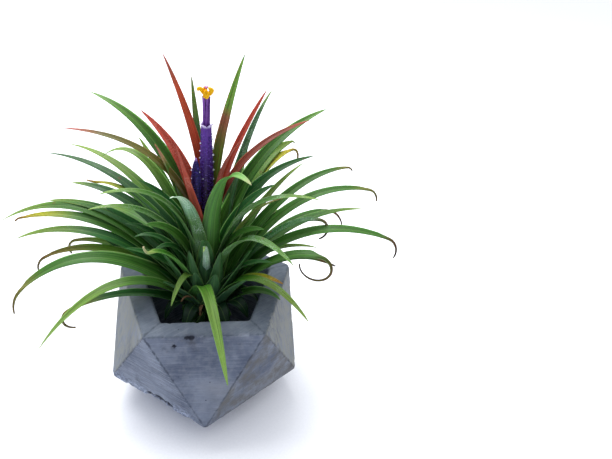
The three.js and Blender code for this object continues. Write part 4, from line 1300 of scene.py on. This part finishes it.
def petal_skin(name, foot, middle, top, lip, lip_from):
    """Violet petals: dark at the foot, lighter upwards, a pale lip, fine ribs and small pale scales."""
    look = Surface(name, Specular_IOR_Level=0.3)
    along = look.attribute("along")
    across = look.attribute("across")
    ribs = look.noise(look.combine(look.times(across, 22), look.times(along, 9), 0.0), 1.0, 3)
    beads = look.cells(look.move("MULTIPLY", look.place, (1.0, 1.0, 0.55)), 1900)
    patches = look.noise(look.place, 520, 3)
    colour = look.tint(foot, along, middle, 0.25, 0.7)
    colour = look.tint(colour, along, top, 0.5, lip_from - 0.03)
    colour = look.tint(colour, ribs, foot, 0.36, 0.6, 0.5, 0.0)
    colour = look.tint(colour, beads, top, 0.18, 0.42, 0.55, 0.0, where=look.step(patches, 0.42, 0.6))
    colour = look.tint(colour, along, lip, lip_from - 0.015, lip_from + 0.02)
    height = look.add(look.times(ribs, 0.7), look.step(beads, 0.0, 0.5, 0.8, 0.0))
    roughness = look.step(patches, 0.3, 0.7, 0.35, 0.55)
    return look.finish(colour, roughness, height, bump=0.6, distance=0.15)


def thread_skin(name, low, high, grain, fineness, specular):
    """A colour that runs from foot to tip, with grains of another colour and their relief."""
    look = Surface(name, Specular_IOR_Level=specular)
    grains = look.noise(look.place, fineness, 3, 0.65)
    cells = look.cells(look.place, fineness * 1.6)
    colour = look.tint(low, look.attribute("along"), high, 0.1, 0.95)
    colour = look.tint(colour, grains, grain, 0.45, 0.68, 0.0, 0.6)
    colour = look.blend(look.times(look.attribute("shade"), 0.5), colour, grain)
    height = look.add(grains, look.step(cells, 0.0, 0.5, 0.7, 0.0))
    return look.finish(colour, look.step(grains, 0.3, 0.7, 0.45, 0.75), height, bump=0.6, distance=0.15)


def make_scales(name, flower, dark, pale, random):
    """The small round scales that stand on the petals."""
    points, radii = [], []
    for row in range(BEAD_ROWS):
        for share in (np.arange(BEADS_IN_ROW) + random.uniform(0, 1, BEADS_IN_ROW)) / BEADS_IN_ROW:
            level = flower["height"] * (BEADS_FROM + BEADS_SHARE * share)
            out = float(even_outline(flower["outline"], np.array(level)))
            angle = 360 * row / BEAD_ROWS + random.uniform(-BEAD_SPREAD, BEAD_SPREAD)
            place = ring_point(angle, out + BEAD_LIFT, FLOWER_BASE + level)
            points.append(place + np.array((*flower["place"], 0)))
            radii.append(random.uniform(*BEAD_RADIUS) * min(1, out))
    look = Surface(flower["slot"] + " scales", Specular_IOR_Level=0.4)
    spots = look.noise(look.place, 900, 3)
    colour = look.tint(dark, spots, pale, 0.4, 0.7)
    skin = look.finish(colour, look.step(spots, 0.3, 0.7, 0.35, 0.55), spots, bump=0.3, distance=0.08)
    dress(scatter(name, points, radii, skin, 1), flower["slot"])


def make_filaments():
    """Violet threads that stand out of the tube's mouth."""
    shares = np.linspace(0, 1, FILAMENT_STEPS)
    low, high = FILAMENT_RING_RADII
    strands = []
    for index in range(FILAMENT_COUNT):
        angles = 360 * index / FILAMENT_COUNT + FILAMENT_FIRST_ANGLE + FILAMENT_TWIST * shares
        rise = FILAMENT_TOP - FILAMENT_FOOT - FILAMENT_STAGGER * (index % 3)
        heights = FILAMENT_FOOT + rise * shares
        ring_radii = low + (high - low) * shares + FILAMENT_WAVE * np.sin(9 * shares + index * 2)
        points = np.array([ring_point(*values) for values in zip(angles, ring_radii, heights)])
        strands.append((points, FILAMENT_RADIUS * (1 - FILAMENT_TAPER * shares ** 3), (index % 3) / 3))
    skin = thread_skin("filament violet", srgb(88, 40, 118), srgb(124, 76, 158), srgb(62, 26, 88),
                       fineness=700, specular=0.3)
    threads = make_strands("filament_threads", strands, skin, section_points=10, unevenness=0.04, grain=0.9)
    dress(threads, "filaments", "filaments")


def make_anthers():
    """Plump yellow anthers, thick with pollen, on the filaments' tops."""
    shares = np.linspace(0, 1, ANTHER_STEPS)
    fullness = np.sin(np.pi * np.clip(shares, 0.03, 0.97)) ** ANTHER_FULLNESS
    radii = ANTHER_RADIUS * np.maximum(ANTHER_TIP_SHARE, fullness)
    strands = []
    for index, line in enumerate(ANTHERS):
        points = smooth_line(line, ANTHER_STEPS) + np.array([0, 0, FILAMENT_TOP])
        strands.append((points, radii, (index % 2) * 0.6))
    skin = thread_skin("pollen", srgb(230, 172, 10), srgb(240, 188, 24), srgb(226, 148, 8),
                       fineness=2200, specular=0.15)
    anthers = make_strands("pollen_anthers", strands, skin, section_points=12, unevenness=0.16, grain=0.35)
    dress(anthers, "anthers", "anthers")


def make_stigma():
    """The end of the style, with its spread lobes."""
    style = np.array([(0, 0, FILAMENT_TOP - 3), (0, 0, FILAMENT_TOP), (STYLE_MIDDLE, 0, STIGMA_TOP)])
    strands = [(style, STYLE_RADIUS, 0.0)]
    for lobe in range(STIGMA_LOBES):
        angle = 360 * lobe / STIGMA_LOBES + STIGMA_FIRST_ANGLE
        line = [(STYLE_MIDDLE, 0, STIGMA_TOP - 0.2)]
        line += [ring_point(angle, out, STIGMA_TOP + rise) for out, rise in LOBE_LINE]
        strands.append((smooth_line(line, LOBE_STEPS), LOBE_RADIUS, 0.3))
    skin = thread_skin("stigma pink", srgb(150, 96, 176), srgb(206, 120, 170), srgb(230, 170, 200),
                       fineness=1500, specular=0.4)
    lobes = make_strands("stigma_lobes", strands, skin, section_points=10, unevenness=0.03, grain=0.4)
    dress(lobes, "stigma", "stigma")


def dew_skin():
    look = Surface("dew", Specular_IOR_Level=0.5, IOR=1.33, Transmission_Weight=0.25)
    ripples = look.noise(look.place, 1200, 2)
    colour = look.tint(srgb(232, 236, 240), ripples, srgb(214, 218, 232), 0.3, 0.7)
    return look.finish(colour, look.step(ripples, 0.3, 0.7, 0.04, 0.12), ripples, bump=0.1, distance=0.05)


def make_dew(name, flower, skin):
    """Drops of dew, half sunk into the petals."""
    points = []
    for angle, height, radius in flower["drops"]:
        out = float(even_outline(flower["outline"], np.array(height))) + PETAL_OVERLAP + radius * 0.5
        points.append(ring_point(angle, out, FLOWER_BASE + height) + np.array((*flower["place"], 0)))
    dress(scatter(name, points, [radius for _, _, radius in flower["drops"]], skin, 3), flower["slot"])


def make_flower():
    violet = petal_skin("violet petals", srgb(34, 16, 46), srgb(64, 30, 112), srgb(92, 46, 150),
                        srgb(214, 200, 236), lip_from=0.955)
    indigo = petal_skin("indigo bud petals", srgb(20, 14, 40), srgb(26, 18, 76), srgb(44, 32, 104),
                        srgb(150, 116, 180), lip_from=0.965)
    make_petals("petals", TUBE, violet)
    make_petals("bud_petals", BUD, indigo)
    random = np.random.default_rng(BEAD_SEED)
    make_scales("tube_scales", TUBE, srgb(52, 26, 110), srgb(122, 92, 186), random)
    make_scales("bud_scales", BUD, srgb(18, 12, 60), srgb(70, 56, 150), random)
    make_filaments()
    make_anthers()
    make_stigma()
    dew = dew_skin()
    make_dew("tube_dew", TUBE, dew)
    make_dew("bud_dew", BUD, dew)


def dry_root(angle, random):
    """A wiry root that leaves the stump, bends aside and comes to lie on the pot's inner floor."""
    reach = random.uniform(*DRY_ROOT_REACH)
    start = random.uniform(*DRY_ROOT_START)
    bend = random.uniform(-DRY_ROOT_BEND, DRY_ROOT_BEND)
    line = [
        ring_point(angle, 4.0, start),
        ring_point(angle + bend * 0.2, 6.4, start + random.uniform(-1.5, 1.0)),
        ring_point(angle + bend * 0.6, 4 + reach * 0.5, CAVITY_SURFACE + random.uniform(1.2, 4.5)),
        ring_point(angle + bend, reach + 2, CAVITY_SURFACE + random.uniform(0.6, 1.4)),
    ]
    radius = random.uniform(*DRY_ROOT_RADIUS)
    radii = np.linspace(radius, radius * 0.45, DRY_ROOT_STEPS)
    return smooth_line(line, DRY_ROOT_STEPS), radii, random.uniform(0, 1)


def make_dry_base():
    """The old stump and the wiry dead roots that hold the plant in the pot, with scraps of dry leaf."""
    random = np.random.default_rng(ROOT_SEED)
    strands = []
    for index in range(DRY_ROOT_COUNT):
        angle = 360 * index / DRY_ROOT_COUNT + random.uniform(-DRY_ROOT_SPREAD, DRY_ROOT_SPREAD)
        strands.append(dry_root(angle, random))
    for line in DRY_SCRAPS:
        points = smooth_line([ring_point(*point) for point in line], SCRAP_STEPS)
        strands.append((points, np.linspace(*SCRAP_RADII, SCRAP_STEPS), 0.2))
    bark = thread_skin("dry roots", srgb(84, 62, 42), srgb(132, 104, 74), srgb(54, 38, 26),
                       fineness=800, specular=0.15)
    roots = make_strands("dry_roots", strands, bark, section_points=7, unevenness=0.12, grain=1.1)
    dress(roots, "dry_base", "dry_base")
    stump_skin = core_skin("stump fibres", srgb(48, 36, 26), srgb(104, 82, 56))
    make_core("stump", STUMP_OUTLINE, STUMP_SIDES, stump_skin, "dry_base")


# Light, floor and camera.

def add_camera():
    elevation, azimuth, roll = (math.radians(a) for a in (CAMERA_ELEVATION, CAMERA_AZIMUTH, CAMERA_ROLL))
    back = Vector((math.sin(azimuth) * math.cos(elevation), -math.cos(azimuth) * math.cos(elevation),
                   math.sin(elevation)))
    level = (-back).cross(Vector((0, 0, 1))).normalized()
    rise = level.cross(-back)
    right = math.cos(roll) * level + math.sin(roll) * rise
    up = -math.sin(roll) * level + math.cos(roll) * rise
    lens = bpy.data.cameras.new("camera")
    lens.sensor_width = SENSOR_WIDTH
    lens.lens = FOCAL_LENGTH
    lens.clip_start = NEAREST_SEEN * MM
    camera = add_object("camera", lens)
    facing = Matrix((right, up, back)).transposed().to_4x4()
    camera.matrix_world = Matrix.Translation(Vector(CAMERA_PLACE) * MM) @ facing
    bpy.context.scene.camera = camera


def add_lamp():
    """A large soft square light overhead, which faces the plant."""
    light = bpy.data.lights.new("top light", "AREA")
    light.size = LAMP_SIZE * MM
    light.energy = LAMP_POWER
    lamp = add_object("top light", light)
    lamp.location = Vector(LAMP_PLACE) * MM
    towards = Vector(LAMP_AIM) - Vector(LAMP_PLACE)
    lamp.rotation_euler = towards.to_track_quat("-Z", "Y").to_euler()


def add_room_light():
    world = bpy.data.worlds.new("studio")
    world.use_nodes = True
    sky = Graph(world.node_tree)
    direction = sky.node("ShaderNodeTexCoord").outputs["Generated"]
    parts = sky.node("ShaderNodeSeparateXYZ", {0: direction}).outputs
    light = FRONT_LIGHT
    for axis, low, high, colour in SIDE_LIGHTS:
        light = sky.tint(light, parts[axis], colour, low, high)
    seen = sky.node("ShaderNodeLightPath").outputs["Is Camera Ray"]
    background = world.node_tree.nodes["Background"]
    world.node_tree.links.new(sky.blend(seen, light, (1, 1, 1, 1)), background.inputs[0])
    bpy.context.scene.world = world
    bpy.context.scene.view_settings.view_transform = "Standard"


def add_floor():
    paper = Surface("floor paper", Specular_IOR_Level=0.1)
    grain = paper.noise(paper.place, 900, 3)
    colour = paper.tint((0.9, 0.91, 0.93, 1), grain, (0.93, 0.94, 0.96, 1), 0.3, 0.7)
    paper.finish(colour, paper.step(grain, 0.3, 0.7, 0.8, 0.95), grain, bump=0.05, distance=0.05)
    sheet = bmesh.new()
    bmesh.ops.create_grid(sheet, x_segments=1, y_segments=1, size=FLOOR_HALF_WIDTH * MM)
    mesh = bpy.data.meshes.new("floor")
    sheet.to_mesh(mesh)
    sheet.free()
    mesh.materials.append(paper.material)
    add_object("floor", mesh)


add_camera()
add_room_light()
add_lamp()
add_floor()
make_pot()
make_plant()
make_flower()
make_dry_base()
